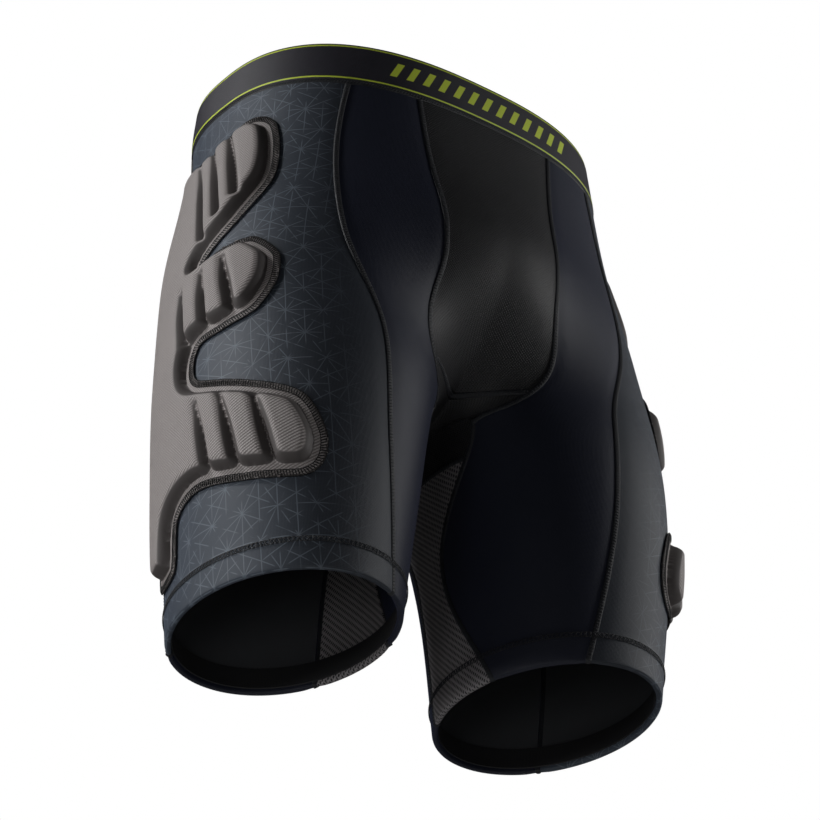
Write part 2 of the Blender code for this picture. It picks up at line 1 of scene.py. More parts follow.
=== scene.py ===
"""Padded impact shorts: stretch shorts with a three-fingered foam pad sewn over each hip, sewn up
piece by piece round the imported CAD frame. Metres, +Z up, the wearer's front toward -Y."""

import math
from functools import lru_cache

import bpy
import numpy as np
from mathutils import Matrix, Vector


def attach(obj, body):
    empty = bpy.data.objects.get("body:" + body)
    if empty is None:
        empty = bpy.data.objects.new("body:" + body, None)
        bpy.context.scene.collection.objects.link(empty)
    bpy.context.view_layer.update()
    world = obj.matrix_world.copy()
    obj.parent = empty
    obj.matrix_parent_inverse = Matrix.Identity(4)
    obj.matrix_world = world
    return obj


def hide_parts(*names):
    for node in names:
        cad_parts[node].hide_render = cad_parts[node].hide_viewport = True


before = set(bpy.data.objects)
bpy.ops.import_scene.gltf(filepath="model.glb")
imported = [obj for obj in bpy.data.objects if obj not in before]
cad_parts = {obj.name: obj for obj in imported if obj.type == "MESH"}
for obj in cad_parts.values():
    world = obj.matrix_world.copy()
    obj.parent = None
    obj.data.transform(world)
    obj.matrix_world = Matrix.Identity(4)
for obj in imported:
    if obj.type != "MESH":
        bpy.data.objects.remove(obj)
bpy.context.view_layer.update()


# ------------------------------------------------------------------ front thigh panels
# The front of each thigh is one cut piece of smooth, near-black navy stretch knit. It runs from
# the waistband to the leg hem, between the inner thigh and front side seams, and its lower edge
# is turned up to the inside. This section also holds the worn shape that all the panels share.

WAIST_HEIGHT = 0.470  # heights are measured up the side line from the leg hem
CROTCH_HEIGHT = 0.190
BAND_HEIGHT = 0.036
HEM_HEIGHT = 0.020
WAIST_TILT = 0.18
LEG_GAP_HALF = 0.037
BAND_BOTTOM = WAIST_HEIGHT - BAND_HEIGHT
RISE = WAIST_HEIGHT - CROTCH_HEIGHT
LEVELS = np.array((0.0, 0.1007, 0.190, 0.2796, 0.3692, 0.470))
SIDE_REACHES = np.array((0.173, 0.183, 0.186, 0.178, 0.162, 0.150))
FRONT_DEPTHS = np.array((0.120, 0.134, 0.140, 0.136, 0.126, 0.120))
BACK_DEPTHS = np.array((0.060, 0.070, 0.092, 0.114, 0.120, 0.120))
HIP_ROUNDNESS = 2.5
CROTCH_RISE = 0.150
CROTCH_SOFTNESS = 0.13
POUCH_BULGE = 0.012
POUCH_BULGE_WIDTH = 0.075
PAD_BED = 0.0095  # the pad presses the cloth and the hip in under its back edge
PAD_BED_TURN = 0.61
PAD_BED_WIDTH = 0.12
PAD_BED_FADE = 0.260
PAD_BED_TOP = WAIST_HEIGHT - BAND_HEIGHT / 2
PAD_BED_TOP_FADE = 0.080
CLOTH = 0.0014
SEAM_WIDTH = 0.0040
FOLD = 0.0016  # radius of the turned-up hem's fold
FRONT_SEAM_FROM_SIDE = np.array((0.155, 0.153, 0.153, 0.124, 0.110, 0.120))
INNER_SEAM_FROM_INSEAM = np.array((0.027, -0.010, 0.052, 0.048, 0.053, 0.061))
PANEL_STEP = 0.0034
PANEL_TOP = BAND_BOTTOM - SEAM_WIDTH + 0.0002
TURNED_EDGE = FOLD * (1 - math.pi) - 0.003  # where the turned-up hem ends, inside the leg
HEM_LIFT = 0.0005
SEAM_DIP = 0.0005
SEAM_DIP_REACH = 0.005
CREASE_REACH = 0.014
CREASE_WEIGHTS = ((-0.010, 0.12), (-0.005, 0.24), (0, 0.28), (0.005, 0.24), (0.010, 0.12))


def smooth(value):
    """0 below 0, 1 above 1, and a smooth step between."""
    value = np.clip(value, 0.0, 1.0)
    return value * value * (3 - 2 * value)


def soft_positive(value, softness):
    return (value + np.sqrt(value * value + 4 * softness * softness)) / 2


def through(sizes, level, levels=LEVELS):
    """A smooth curve of sizes through the given levels."""
    slopes = np.gradient(sizes, levels)
    i = int(np.clip(np.searchsorted(levels, level) - 1, 0, len(levels) - 2))
    span = levels[i + 1] - levels[i]
    t = (level - levels[i]) / span
    start = sizes[i] * (1 + 2 * t) * (1 - t) ** 2 + slopes[i] * span * t * (1 - t) ** 2
    end = sizes[i + 1] * t * t * (3 - 2 * t) + slopes[i + 1] * span * t * t * (t - 1)
    return start + end


@lru_cache(maxsize=None)
def loop(level):
    """One level's loop round the left half: lengths along the cloth, with X and Y at each."""
    turn = np.linspace(0, 1, 361)
    reach = through(SIDE_REACHES, level)
    front, back = -through(FRONT_DEPTHS, level), through(BACK_DEPTHS, level)
    middle, half_depth = (front + back) / 2, (back - front) / 2
    side, ahead = np.sin(math.pi * turn), np.cos(math.pi * turn)
    softness = CROTCH_SOFTNESS * side
    gap = LEG_GAP_HALF * np.sqrt(soft_positive(1 - level / CROTCH_HEIGHT, softness))
    leg_x = gap + (reach - gap) / 2 * (1 - np.cos(2 * math.pi * turn))
    leg_y = middle - half_depth * np.sin(2 * math.pi * turn)
    power = 2 / HIP_ROUNDNESS
    hip_x = reach * np.abs(side) ** power
    hip_y = middle - half_depth * np.sign(ahead) * np.abs(ahead) ** power
    run = np.clip(soft_positive((level - CROTCH_HEIGHT) / CROTCH_RISE, softness), 0, 1)
    hip_share = np.sqrt(run * (2 - run)) * smooth(level / CROTCH_HEIGHT)
    bulge = POUCH_BULGE * np.exp(-((turn / POUCH_BULGE_WIDTH) ** 2))
    bulge = bulge * smooth((level - CROTCH_HEIGHT - 0.04 * RISE) / (0.3 * RISE))
    bulge = bulge * smooth((BAND_BOTTOM - 0.03 - level) / (0.36 * RISE))
    bed = PAD_BED * np.exp(-(((turn - PAD_BED_TURN) / PAD_BED_WIDTH) ** 2))
    bed = bed * smooth(level / PAD_BED_FADE) * smooth((PAD_BED_TOP - level) / PAD_BED_TOP_FADE)
    x = (1 - hip_share) * leg_x + hip_share * hip_x - bed
    y = (1 - hip_share) * leg_y + hip_share * hip_y - bulge
    return np.concatenate([[0.0], np.cumsum(np.hypot(np.diff(x), np.diff(y)))]), x, y


@lru_cache(maxsize=None)
def girth(level):
    return loop(level)[0][-1]


every_y = [loop(level * WAIST_HEIGHT / 60)[2] for level in range(61)]
CENTRE_Y = (min(y.min() for y in every_y) + max(y.max() for y in every_y)) / 2


def tilt(level):
    start = 0.53 * CROTCH_HEIGHT
    return WAIST_TILT * float(smooth((level - start) / (BAND_BOTTOM - start)))


def sharp_row(shares, level):
    """Points of the worn shape at shares of one level's girth, from the inseam or centre front."""
    lengths, xs, ys = loop(level)
    past = (shares < 0) | (shares > 1)
    if level <= CROTCH_HEIGHT:
        side, shares = 1, np.where(past, shares % 1, shares)
    else:
        side = np.where(past, -1, 1)
        shares = np.where(shares < 0, -shares, np.where(shares > 1, 2 - shares, shares))
    x = np.interp(shares * lengths[-1], lengths, xs) * side
    y = np.interp(shares * lengths[-1], lengths, ys)
    return np.stack([x, y - CENTRE_Y, level + tilt(level) * y], 1)


def body_row(shares, level):
    """The same, with the crease at the top of the thigh eased out away from the inseam."""
    points = sharp_row(shares, level)
    near = math.exp(-(((level - CROTCH_HEIGHT) / CREASE_REACH) ** 2))
    if near > 0.01:
        reach = (shares - 0.5) * girth(level)
        eased = 0.0
        for step, weight in CREASE_WEIGHTS:
            there = round(level + step, 5)
            eased = eased + weight * sharp_row(0.5 + reach / girth(there), there)
        from_end = np.minimum(np.abs(shares), np.abs(1 - shares))
        points += (eased - points) * (near * smooth((from_end - 0.05) / 0.10))[:, None]
    return points


def unit(vectors):
    return vectors / np.maximum(np.linalg.norm(vectors, axis=1), 1e-12)[:, None]


def body_normals(shares, level):
    step = min(0.001, abs(level - CROTCH_HEIGHT) / 4 + 2e-5)
    along = body_row(shares + 0.002, level) - body_row(shares - 0.002, level)
    low = max(level - step, 0.0) if level <= CROTCH_HEIGHT else level
    normals = unit(np.cross(along, body_row(shares, low + step) - body_row(shares, low)))
    if level <= HEM_HEIGHT or level >= PANEL_TOP - 0.001:
        plane = np.array((0, -tilt(level), 1)) / math.hypot(1, tilt(level))
        normals = unit(normals - np.outer(normals @ plane, plane))
    return normals


def worn(shares, heights, lifts=0.0):
    """Points on the worn cloth, with their outward directions. A height under the fold's radius
    goes on round the hem's fold and up the inside of the leg."""
    shares, heights, lifts = np.broadcast_arrays(
        *(np.asarray(a, float).ravel() for a in (shares, heights, lifts))
    )
    turned = np.clip((FOLD - heights) / FOLD, 0, math.pi)
    levels = np.where(turned > 0, FOLD * (1 - np.sin(turned)), heights)
    levels = np.where(turned >= math.pi, FOLD * (2 - math.pi) - heights, levels)
    levels = np.round(levels, 5)
    points, normals = np.zeros((len(levels), 3)), np.zeros((len(levels), 3))
    order = np.argsort(levels, kind="stable")
    starts = np.flatnonzero(np.diff(levels[order], prepend=-1.0))
    for pick in np.split(order, starts[1:]):
        level = float(levels[pick[0]])
        points[pick] = body_row(shares[pick], level)
        normals[pick] = body_normals(shares[pick], level)
    points -= normals * (FOLD * (1 - np.cos(turned)))[:, None]
    normals = normals * np.cos(turned)[:, None] - np.outer(np.sin(turned), (0, 0, 1))
    return points + normals * lifts[:, None], normals


def front_seam(level):
    return 0.5 - through(FRONT_SEAM_FROM_SIDE, level) / girth(level)


def inner_seam(level):
    return through(INNER_SEAM_FROM_INSEAM, level) / girth(level)


def beside(seam, sign):
    """The line that a panel is cut to, just under the edge of the seam beside it."""
    return lambda level: seam(level) + sign * (SEAM_WIDTH / 2 - 0.0003) / girth(level)


def cloth_heights(start, end):
    """Row heights up a panel, closer together round the hem's fold."""
    fold = list(FOLD - FOLD * np.linspace(math.pi, 0, 9)) if start < FOLD else []
    rows = ([start] if start < fold[0] else []) + fold if fold else []
    plain = max(start, FOLD)
    count = max(2, math.ceil((end - plain) / PANEL_STEP))
    rows += [plain + (end - plain) * i / count for i in range(1 if fold else 0, count + 1)]
    return np.array(rows)


def grid_piece(name, columns, rows, place):
    """A flat grid with its points moved to where place(column, row) puts them, in whole numbers.
    place gives the points and the cloth's own flat coordinates, which become the UV map."""
    bpy.ops.object.select_all(action="DESELECT")
    bpy.ops.mesh.primitive_grid_add(x_subdivisions=columns, y_subdivisions=rows, size=2.0)
    piece = bpy.context.object
    piece.name = piece.data.name = name
    mesh = piece.data
    flat = np.empty(len(mesh.vertices) * 3)
    mesh.vertices.foreach_get("co", flat)
    column = np.rint((flat[0::3] + 1) / 2 * columns).astype(int)
    row = np.rint((flat[1::3] + 1) / 2 * rows).astype(int)
    points, paper = place(column, row)
    mesh.vertices.foreach_set("co", np.asarray(points).ravel())
    corners = np.empty(len(mesh.loops), int)
    mesh.loops.foreach_get("vertex_index", corners)
    mesh.uv_layers[0].name = "cloth"
    mesh.uv_layers["cloth"].uv.foreach_set("vector", np.asarray(paper)[corners].ravel())
    mesh.update()
    return piece


def finish_mesh(piece, thickness=0.0, angle=50, inside=0):
    """Gives a sheet its thickness to the inside, and shades it smooth. The inner face's material
    is the one that many slots on from the first."""
    bpy.ops.object.select_all(action="DESELECT")
    bpy.context.view_layer.objects.active = piece
    piece.select_set(True)
    if thickness:
        solidify = piece.modifiers.new("cloth thickness", "SOLIDIFY")
        solidify.thickness = thickness
        solidify.offset = -1
        solidify.material_offset = inside
        bpy.ops.object.modifier_apply(modifier=solidify.name)
    bpy.ops.object.shade_smooth_by_angle(angle=math.radians(angle))
    return piece


def panel(name, left, right, start=TURNED_EDGE, end=PANEL_TOP):
    """A cut panel laid on the worn shape between two lines. It dips a little at its seams."""
    heights = cloth_heights(start, end)
    levels = [float(round(max(h, FOLD), 5)) for h in heights]
    low = np.array([left(level) for level in levels])
    high = np.array([right(level) for level in levels])
    round_levels = np.array([girth(level) for level in levels])
    columns = max(6, math.ceil(np.max((high - low) * round_levels) / PANEL_STEP))

    def place(column, row):
        part = column / columns
        share = low[row] + (high - low)[row] * part
        reach = (high - low)[row] * round_levels[row]
        from_edge = np.minimum(part, 1 - part) * reach
        hem = HEM_LIFT * smooth((HEM_HEIGHT - heights[row]) / 0.0015 + 0.5)
        lift = hem - SEAM_DIP * np.exp(-((from_edge / SEAM_DIP_REACH) ** 2))
        points, _ = worn(share, heights[row], lift)
        return points, np.stack([(share - 0.5) * round_levels[row], heights[row]], 1)

    return grid_piece(name, columns, len(heights) - 1, place)


def other_side(piece):
    """The right-hand piece, cut as the left one's mirror image."""
    mesh = piece.data.copy()
    mesh.transform(Matrix.Scale(-1, 4, (1, 0, 0)))
    mesh.flip_normals()
    twin = bpy.data.objects.new(piece.name.replace("left_", "right_"), mesh)
    mesh.name = twin.name
    bpy.context.scene.collection.objects.link(twin)
    return twin


def both_sides(left):
    return (left, "left"), (other_side(left), "right")


def dress(piece, stands_for, slot, *cloths):
    """Gives a piece its materials, and puts it on the body in its CAD node's place."""
    for cloth in cloths:
        piece.data.materials.append(cloth)
    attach(piece, "root")
    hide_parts(stands_for)


def node(tree, kind, *inputs, **settings):
    """A shader node with its settings; each input is a plain value, another node's output, or
    None to leave it alone. Gives the node's first output."""
    made = tree.nodes.new("ShaderNode" + kind)
    for name, value in settings.items():
        setattr(made, name, value)
    for socket, value in zip(made.inputs, inputs):
        if isinstance(value, bpy.types.NodeSocket):
            tree.links.new(value, socket)
        elif value is not None:
            socket.default_value = value
    return made.outputs[0]


def node_outputs(tree, kind, *inputs):
    return node(tree, kind, *inputs).node.outputs


def math_node(tree, operation, *inputs):
    return node(tree, "Math", *inputs, operation=operation)


def greater(tree, first, second):
    return second if first is None else math_node(tree, "MAXIMUM", first, second)


def times(tree, first, second):
    return math_node(tree, "MULTIPLY", first, second)


def ramp(tree, value, start, end, low=0.0, high=1.0):
    """Carries start..end over to low..high with a smooth step."""
    return node(tree, "MapRange", value, start, end, low, high, interpolation_type="SMOOTHSTEP")


def blend(tree, share, first, second):
    """A colour between two: plain colours or other nodes' outputs."""
    made = tree.nodes.new("ShaderNodeMix")
    made.data_type = "RGBA"
    colour_sockets = made.inputs[0], made.inputs[6], made.inputs[7]
    for socket, value in zip(colour_sockets, (share, first, second)):
        if isinstance(value, bpy.types.NodeSocket):
            tree.links.new(value, socket)
        else:
            socket.default_value = value if isinstance(value, float) else (*value, 1.0)
    return made.outputs[2]


def cloth_paper(tree, turn=0.0, scale=1.0):
    """The cloth's own flat coordinates in metres, turned and scaled."""
    paper = node(tree, "UVMap", uv_map="cloth")
    sizes = scale if isinstance(scale, tuple) else (scale, scale, scale)
    return node(tree, "Mapping", paper, (0, 0, 0), (0, 0, turn), sizes)


def new_cloth(name, roughness, sheen, sheen_tint, specular=0.5):
    material = bpy.data.materials.new(name)
    material.use_nodes = True
    shader = material.node_tree.nodes["Principled BSDF"]
    shader.inputs["Roughness"].default_value = roughness
    shader.inputs["Sheen Weight"].default_value = sheen
    shader.inputs["Sheen Roughness"].default_value = 0.35
    shader.inputs["Sheen Tint"].default_value = (*sheen_tint, 1.0)
    shader.inputs["Specular IOR Level"].default_value = specular
    return material, material.node_tree, shader


def into(tree, output, shader, socket):
    tree.links.new(output, shader.inputs[socket])


def bump(tree, shader, height, distance, strength=1.0):
    made = tree.nodes.new("ShaderNodeBump")
    made.inputs["Strength"].default_value = strength
    made.inputs["Distance"].default_value = distance
    tree.links.new(height, made.inputs["Height"])
    tree.links.new(made.outputs[0], shader.inputs["Normal"])


def patchy(tree, place, scale, first, second, detail=3.0, roughness=0.55):
    """Soft patches of two near colours."""
    share = node(tree, "TexNoise", place, None, scale, detail, roughness)
    return blend(tree, share, first, second)


KNIT_PITCH = 0.0009


def jersey(tree, shader, pitch=KNIT_PITCH):
    """The V-shaped loops of a fine knit, as a height from 0 to 1, which also goes into the bump."""
    x, y, _ = node_outputs(tree, "SeparateXYZ", cloth_paper(tree, 0.0, 1 / pitch))
    column = math_node(tree, "ABSOLUTE", math_node(tree, "SINE", times(tree, x, math.pi)))
    slant = math_node(tree, "ADD", y, times(tree, column, 0.45))
    loops = math_node(tree, "ABSOLUTE", math_node(tree, "SINE", times(tree, slant, math.pi)))
    height = math_node(tree, "POWER", column, 0.6)
    height = times(tree, height, math_node(tree, "ADD", loops, 0.4))
    bump(tree, shader, height, 0.00012, 0.5)
    return height


navy_knit, tree, shader = new_cloth("navy_stretch_knit", 0.48, 0.22, (0.24, 0.28, 0.58), 0.34)
knit = jersey(tree, shader)
navy = patchy(tree, cloth_paper(tree), 28.0, (0.0085, 0.0100, 0.0170), (0.0140, 0.0165, 0.0290))
navy = blend(tree, times(tree, knit, 0.45), navy, (0.030, 0.034, 0.056))
into(tree, navy, shader, "Base Color")

left_front = finish_mesh(
    panel("left_front_thigh_panel_cloth", beside(inner_seam, 1), beside(front_seam, -1)), CLOTH
)
for piece, side in both_sides(left_front):
    dress(piece, f"{side}_front_thigh_panel", "thigh_lycra", navy_knit)


# ------------------------------------------------------------------ side panels
# The outside of each hip and thigh is one slate-grey panel of the same knit. A thin line print of
# stars and triangles covers it and dies out toward the front seam, where the grey turns to black,
# partly as a dyed fade and partly as painted shade.

BACK_SEAM_FROM_SIDE = np.array((0.072, 0.074, 0.078, 0.078, 0.074, 0.070))
STAR_PITCH = 0.0245
PRINT_LINE = 0.00034
PRINT_STRENGTH = 0.48


def back_seam(level):
    return 0.5 + through(BACK_SEAM_FROM_SIDE, level) / girth(level)


slate_knit, tree, shader = new_cloth("slate_printed_knit", 0.50, 0.20, (0.32, 0.42, 0.66), 0.34)
knit = jersey(tree, shader)
paper = cloth_paper(tree)
lines = None
for family in range(6):
    turned = math.radians(30 * family)
    pitch = STAR_PITCH * (math.sqrt(3) / 2 if family % 2 else 0.5)
    direction = (math.cos(turned), math.sin(turned), 0.0)
    run = node(tree, "VectorMath", paper, direction, operation="DOT_PRODUCT").node.outputs["Value"]
    away = math_node(tree, "PINGPONG", run, pitch / 2)
    line = ramp(tree, away, PRINT_LINE * 0.4, PRINT_LINE * 1.5, 1.0, 0.0)
    patches = node(tree, "TexNoise", paper, None, 38.0 + 9 * family, 1.0, 0.5)
    line = times(tree, line, ramp(tree, patches, 0.41, 0.52))
    lines = greater(tree, lines, line)
ahead = times(tree, node_outputs(tree, "SeparateXYZ", paper)[0], -1.0)
# to_front blends the grey to near-black toward the front seam (three lines on): partly a dyed fade,
# partly painted shade where the light falls off
to_front = ramp(tree, ahead, 0.040, 0.120)
print_share = times(tree, lines, ramp(tree, ahead, 0.070, 0.145, 1.0, 0.0))
slate = patchy(tree, paper, 22.0, (0.042, 0.053, 0.071), (0.067, 0.083, 0.109))
slate = blend(tree, to_front, slate, (0.012, 0.014, 0.019))
slate = blend(tree, times(tree, knit, 0.3), slate, (0.095, 0.110, 0.136))
slate = blend(tree, times(tree, print_share, PRINT_STRENGTH), slate, (0.24, 0.285, 0.34))
into(tree, slate, shader, "Base Color")

knit_reverse, tree, shader = new_cloth("stretch_knit_reverse", 0.55, 0.05, (0.5, 0.5, 0.55))
knit = jersey(tree, shader)
plain = patchy(tree, cloth_paper(tree), 22.0, (0.036, 0.038, 0.042), (0.055, 0.058, 0.064))
plain = blend(tree, times(tree, knit, 0.3), plain, (0.075, 0.078, 0.085))
into(tree, plain, shader, "Base Color")


def line_with(piece, outside, inside):
    """Gives a panel its thickness, with one material outside and another on the reverse."""
    piece.data.materials.append(outside)
    piece.data.materials.append(inside)
    finish_mesh(piece, CLOTH, inside=1)


left_side = panel("left_side_panel_cloth", beside(front_seam, 1), beside(back_seam, -1))
line_with(left_side, slate_knit, knit_reverse)
for piece, side in both_sides(left_side):
    dress(piece, f"{side}_side_panel", "side_lycra")


# ------------------------------------------------------------------ back panels
# The seat and the back of each thigh are one piece of the navy knit on each side, sewn to the
# side panel, to the inner thigh mesh below the crotch and to each other up the centre back.

GUSSET_BACK_RISE = 0.022
BACK_GUSSET_LEVELS = np.array((0.0, 0.1007, 0.190, CROTCH_HEIGHT + GUSSET_BACK_RISE))
BACK_GUSSET_FROM_INSEAM = np.array((0.050, 0.056, 0.052, 0.004))


def gusset_back(level):
    """The back edge of the inner thigh mesh and the gusset, which runs in to the centre back."""
    top = BACK_GUSSET_LEVELS[-1]
    fade = max(0.0, 1 - max(0.0, level - top) / (GUSSET_BACK_RISE / 3))
    size = through(BACK_GUSSET_FROM_INSEAM, min(level, top), BACK_GUSSET_LEVELS)
    return 1 - size * fade / girth(level)


left_back = panel("left_back_panel_cloth", beside(back_seam, 1), beside(gusset_back, -1))
line_with(left_back, navy_knit, knit_reverse)
for piece, side in both_sides(left_back):
    dress(piece, f"{side}_back_panel", "thigh_lycra")


# ------------------------------------------------------------------ inner thigh mesh
# A charcoal knit with slanting open holes lines the inside of each thigh, from the hem up to the
# gusset, to let heat out where the legs meet.

GUSSET_DROP = 0.026


def inner_back_line(level):
    return beside(gusset_back, 1)(level) - 1


def open_holes(tree, shader, turn, scale, start, end, depth):
    """A knit's even rows of holes: 0 in a hole and 1 on the yarn round it, with its bump."""
    holes = node(
        tree, "TexVoronoi", cloth_paper(tree, turn, scale), feature="F1", voronoi_dimensions="2D",
    )
    holes.node.inputs["Scale"].default_value = 1.0
    holes.node.inputs["Randomness"].default_value = 0.0
    opened = ramp(tree, holes, start, end)
    bump(tree, shader, opened, depth)
    return opened


inner_knit, tree, shader = new_cloth("charcoal_open_mesh", 0.62, 0.06, (0.45, 0.42, 0.42))
hole_scale = (1 / 0.0021, 1 / 0.0034, 1.0)
opened = open_holes(tree, shader, math.radians(24), hole_scale, 0.22, 0.40, 0.00045)
charcoal = patchy(tree, cloth_paper(tree), 40.0, (0.230, 0.215, 0.222), (0.330, 0.310, 0.318))
into(tree, blend(tree, opened, (0.020, 0.019, 0.021), charcoal), shader, "Base Color")

left_inner = finish_mesh(
    panel(
        "left_inner_thigh_mesh_cloth", inner_back_line, beside(inner_seam, -1),
        end=CROTCH_HEIGHT - GUSSET_DROP - SEAM_WIDTH / 2 + 0.0003,
    ),
    CLOTH,
)
for piece, side in both_sides(left_inner):
    dress(piece, f"{side}_inner_thigh_mesh", "inner_mesh", inner_knit)


# ------------------------------------------------------------------ front pouch
# The belly panel is a fine black hole mesh, cut in one piece across the centre front and shaped
# into a shallow pouch by its two side seams.

GUSSET_FRONT_RISE = 0.014
POUCH_FOOT = CROTCH_HEIGHT + GUSSET_FRONT_RISE

pouch_knit, tree, shader = new_cloth("black_hole_mesh", 0.52, 0.06, (0.5, 0.5, 0.52))
opened = open_holes(tree, shader, math.radians(45), 1 / 0.00150, 0.20, 0.42, 0.00040)
black = patchy(tree, cloth_paper(tree), 30.0, (0.014, 0.014, 0.016), (0.024, 0.024, 0.027))
into(tree, blend(tree, opened, (0.0015, 0.0015, 0.0018), black), shader, "Base Color")

pouch = finish_mesh(
    panel(
        "front_mesh_pouch_cloth", lambda level: -beside(inner_seam, -1)(level),
        beside(inner_seam, -1), start=POUCH_FOOT + SEAM_WIDTH / 2 - 0.0003,
    ),
    CLOTH,
)
dress(pouch, "front_mesh_pouch", "open_mesh", pouch_knit)


# ------------------------------------------------------------------ crotch gusset
# A saddle of the same hole mesh joins the two inner thighs under the crotch. Its front edge is
# sewn to the pouch, its sides to the inner thigh mesh, and behind it narrows to the centre back.

GUSSET_TIP = 0.75
WELD = 0.0004


def weld(piece, distance):
    """Merges the points of a piece that lie on one another."""
    bpy.ops.object.select_all(action="DESELECT")
    bpy.context.view_layer.objects.active = piece
    piece.select_set(True)
    bpy.ops.object.mode_set(mode="EDIT")
    bpy.ops.mesh.select_all(action="SELECT")
    bpy.ops.mesh.remove_doubles(threshold=distance)
    bpy.ops.object.mode_set(mode="OBJECT")


def gusset_patch(name, low, high, left, right):
    """A part of the gusset's left half between two levels and two lines."""
    levels = [float(round(low + (high - low) * (i / 12) ** 0.7, 5)) for i in range(13)]
    if low < CROTCH_HEIGHT:
        levels = [float(round(high - (high - low) * (1 - i / 12) ** 1.4, 5)) for i in range(13)]
    edges = np.array([(left(level), right(level), girth(level)) for level in levels])

    def place(column, row):
        start, end, around = edges[row].T
        share = start + (end - start) * column / 20
        points, _ = worn(share, np.array(levels)[row])
        points[:, 0] = np.maximum(points[:, 0], 0.0)
        return points, np.stack([share * around, np.array(levels)[row]], 1)

    return grid_piece(name, 20, 12, place)


def halfway(level):
    """The line that parts the gusset's front from its back: the inseam at the crotch itself."""
    back, front = inner_back_line(level), beside(inner_seam, -1)(level)
    return (back + front) / 2 * min(1.0, (CROTCH_HEIGHT - level) / GUSSET_DROP)


foot = CROTCH_HEIGHT - GUSSET_DROP + SEAM_WIDTH / 2 - 0.0003
back_top = CROTCH_HEIGHT + GUSSET_TIP * GUSSET_BACK_RISE
patches = [
    gusset_patch("crotch_gusset_cloth", foot, CROTCH_HEIGHT, halfway, beside(inner_seam, -1)),
    gusset_patch("gusset_inside_back", foot, CROTCH_HEIGHT, inner_back_line, halfway),
    gusset_patch(
        "gusset_front", CROTCH_HEIGHT, POUCH_FOOT - SEAM_WIDTH / 2 + 0.0003,
        lambda level: 0.0, beside(inner_seam, -1),
    ),
    gusset_patch(
        "gusset_back", CROTCH_HEIGHT, back_top, lambda level: inner_back_line(level) + 1,
        lambda level: 1.0,
    ),
]
bpy.ops.object.select_all(action="DESELECT")
for patch in patches:
    patch.select_set(True)
gusset = patches[0]
bpy.context.view_layer.objects.active = gusset
bpy.ops.object.join()
for vertex in gusset.data.vertices:
    if vertex.co.x < WELD:
        vertex.co.x = 0.0
mirror = gusset.modifiers.new("both halves", "MIRROR")
mirror.merge_threshold = WELD
bpy.ops.object.modifier_apply(modifier=mirror.name)
weld(gusset, WELD)
finish_mesh(gusset, CLOTH)
dress(gusset, "crotch_gusset", "open_mesh", pouch_knit)


# ------------------------------------------------------------------ flatlock seams
# Every seam is flatlocked: the two cut edges butt together and a cover of thread bridges them, so
# it lies as a low ridge about four millimetres wide, with a stitch across it every two or so.

SEAM_PROUD = 0.0005
SEAM_THICKNESS = 0.0017
STITCH_PITCH = 0.0022
STITCH_RADIUS = 0.00036
seam_profile = np.array([  # parts of the seam's width, with the height over the cloth
    (-0.50, -0.0006), (-0.47, 0.0000), (-0.38, 0.0003), (-0.28, 0.75 * SEAM_PROUD),
    (-0.14, SEAM_PROUD), (0.0, 0.9 * SEAM_PROUD), (0.14, SEAM_PROUD), (0.28, 0.75 * SEAM_PROUD),
    (0.38, 0.0003), (0.47, 0.0000), (0.50, -0.0006),
])

bpy.ops.object.select_all(action="DESELECT")
bpy.ops.mesh.primitive_cylinder_add(vertices=6, radius=1.0, depth=2.0, end_fill_type="TRIFAN")
stitch = bpy.context.object
bpy.ops.object.mode_set(mode="EDIT")
bpy.ops.mesh.select_all(action="SELECT")
bpy.ops.mesh.bisect(plane_co=(0, 0, 0.45), plane_no=(0, 0, 1))
bpy.ops.mesh.select_all(action="SELECT")
bpy.ops.mesh.bisect(plane_co=(0, 0, -0.45), plane_no=(0, 0, 1))
bpy.ops.object.mode_set(mode="OBJECT")
stitch_shape = np.array([vertex.co for vertex in stitch.data.vertices])
stitch_faces = [tuple(face.vertices) for face in stitch.data.polygons]
bpy.data.objects.remove(stitch)
ends = np.abs(stitch_shape[:, 2]) > 0.9
stitch_shape[ends, :2] *= 0.55


def thread_stitches(centres, lengthways, upward, length, radius):
    """Copies the one stitch to each centre, along lengthways and arched to lie over the cloth."""
    sideways = np.cross(lengthways, upward)
    x, y, z = stitch_shape.T
    arch = 0.75 * (1 - z * z) * radius
    points = centres[:, None] + lengthways[:, None] * (z * length / 2)[:, None]
    points = points + sideways[:, None] * (x * radius)[:, None]
    points = points + upward[:, None] * (y * radius * 0.8 + arch)[:, None]
    faces = []
    for i in range(len(centres)):
        shift = i * len(stitch_shape)
        faces += [tuple(corner + shift for corner in face) for face in stitch_faces]
    return points.reshape(-1, 3), faces


def run_lengths(points):
    """The length of the way along a line of points, at each of them."""
    return np.concatenate([[0], np.cumsum(np.linalg.norm(np.diff(points, axis=0), axis=1))])


def even_run(points, pitch):
    """Places along a line a fixed distance apart, as whole and part steps from point to point."""
    lengths = run_lengths(points)
    count = max(2, int(lengths[-1] / pitch))
    wanted = (np.arange(count) + 0.5) * lengths[-1] / count
    return np.interp(wanted, lengths, np.arange(len(points)))


def between(values, places):
    low = np.floor(places).astype(int)
    high = np.minimum(low + 1, len(values) - 1)
    part = (places - low)[:, None]
    return values[low] * (1 - part) + values[high] * part


def cloth_line(points, normals, closed=False):
    """A line on the cloth: its points, and at each the directions outward, along and sideways."""
    along = np.gradient(points, axis=0)
    if closed:
        along[0] = along[-1] = points[1] - points[-2]
    along = unit(along)
    return points, normals, along, unit(np.cross(normals, along))


def stitch_row(line, pitch, across, lean, length, radius, lift=0.0, shift=0.0):
    """A row of stitches on a line. Each points across the line and along it in the two given
    parts, and the row is lifted off the cloth and shifted sideways."""
    points, normals, along, side = line
    places = even_run(points, pitch)
    up, forward, over = (unit(between(values, places)) for values in (normals, along, side))
    centres = between(points, places) + up * lift + over * shift
    return thread_stitches(centres, unit(over * across + forward * lean), up, length, radius)


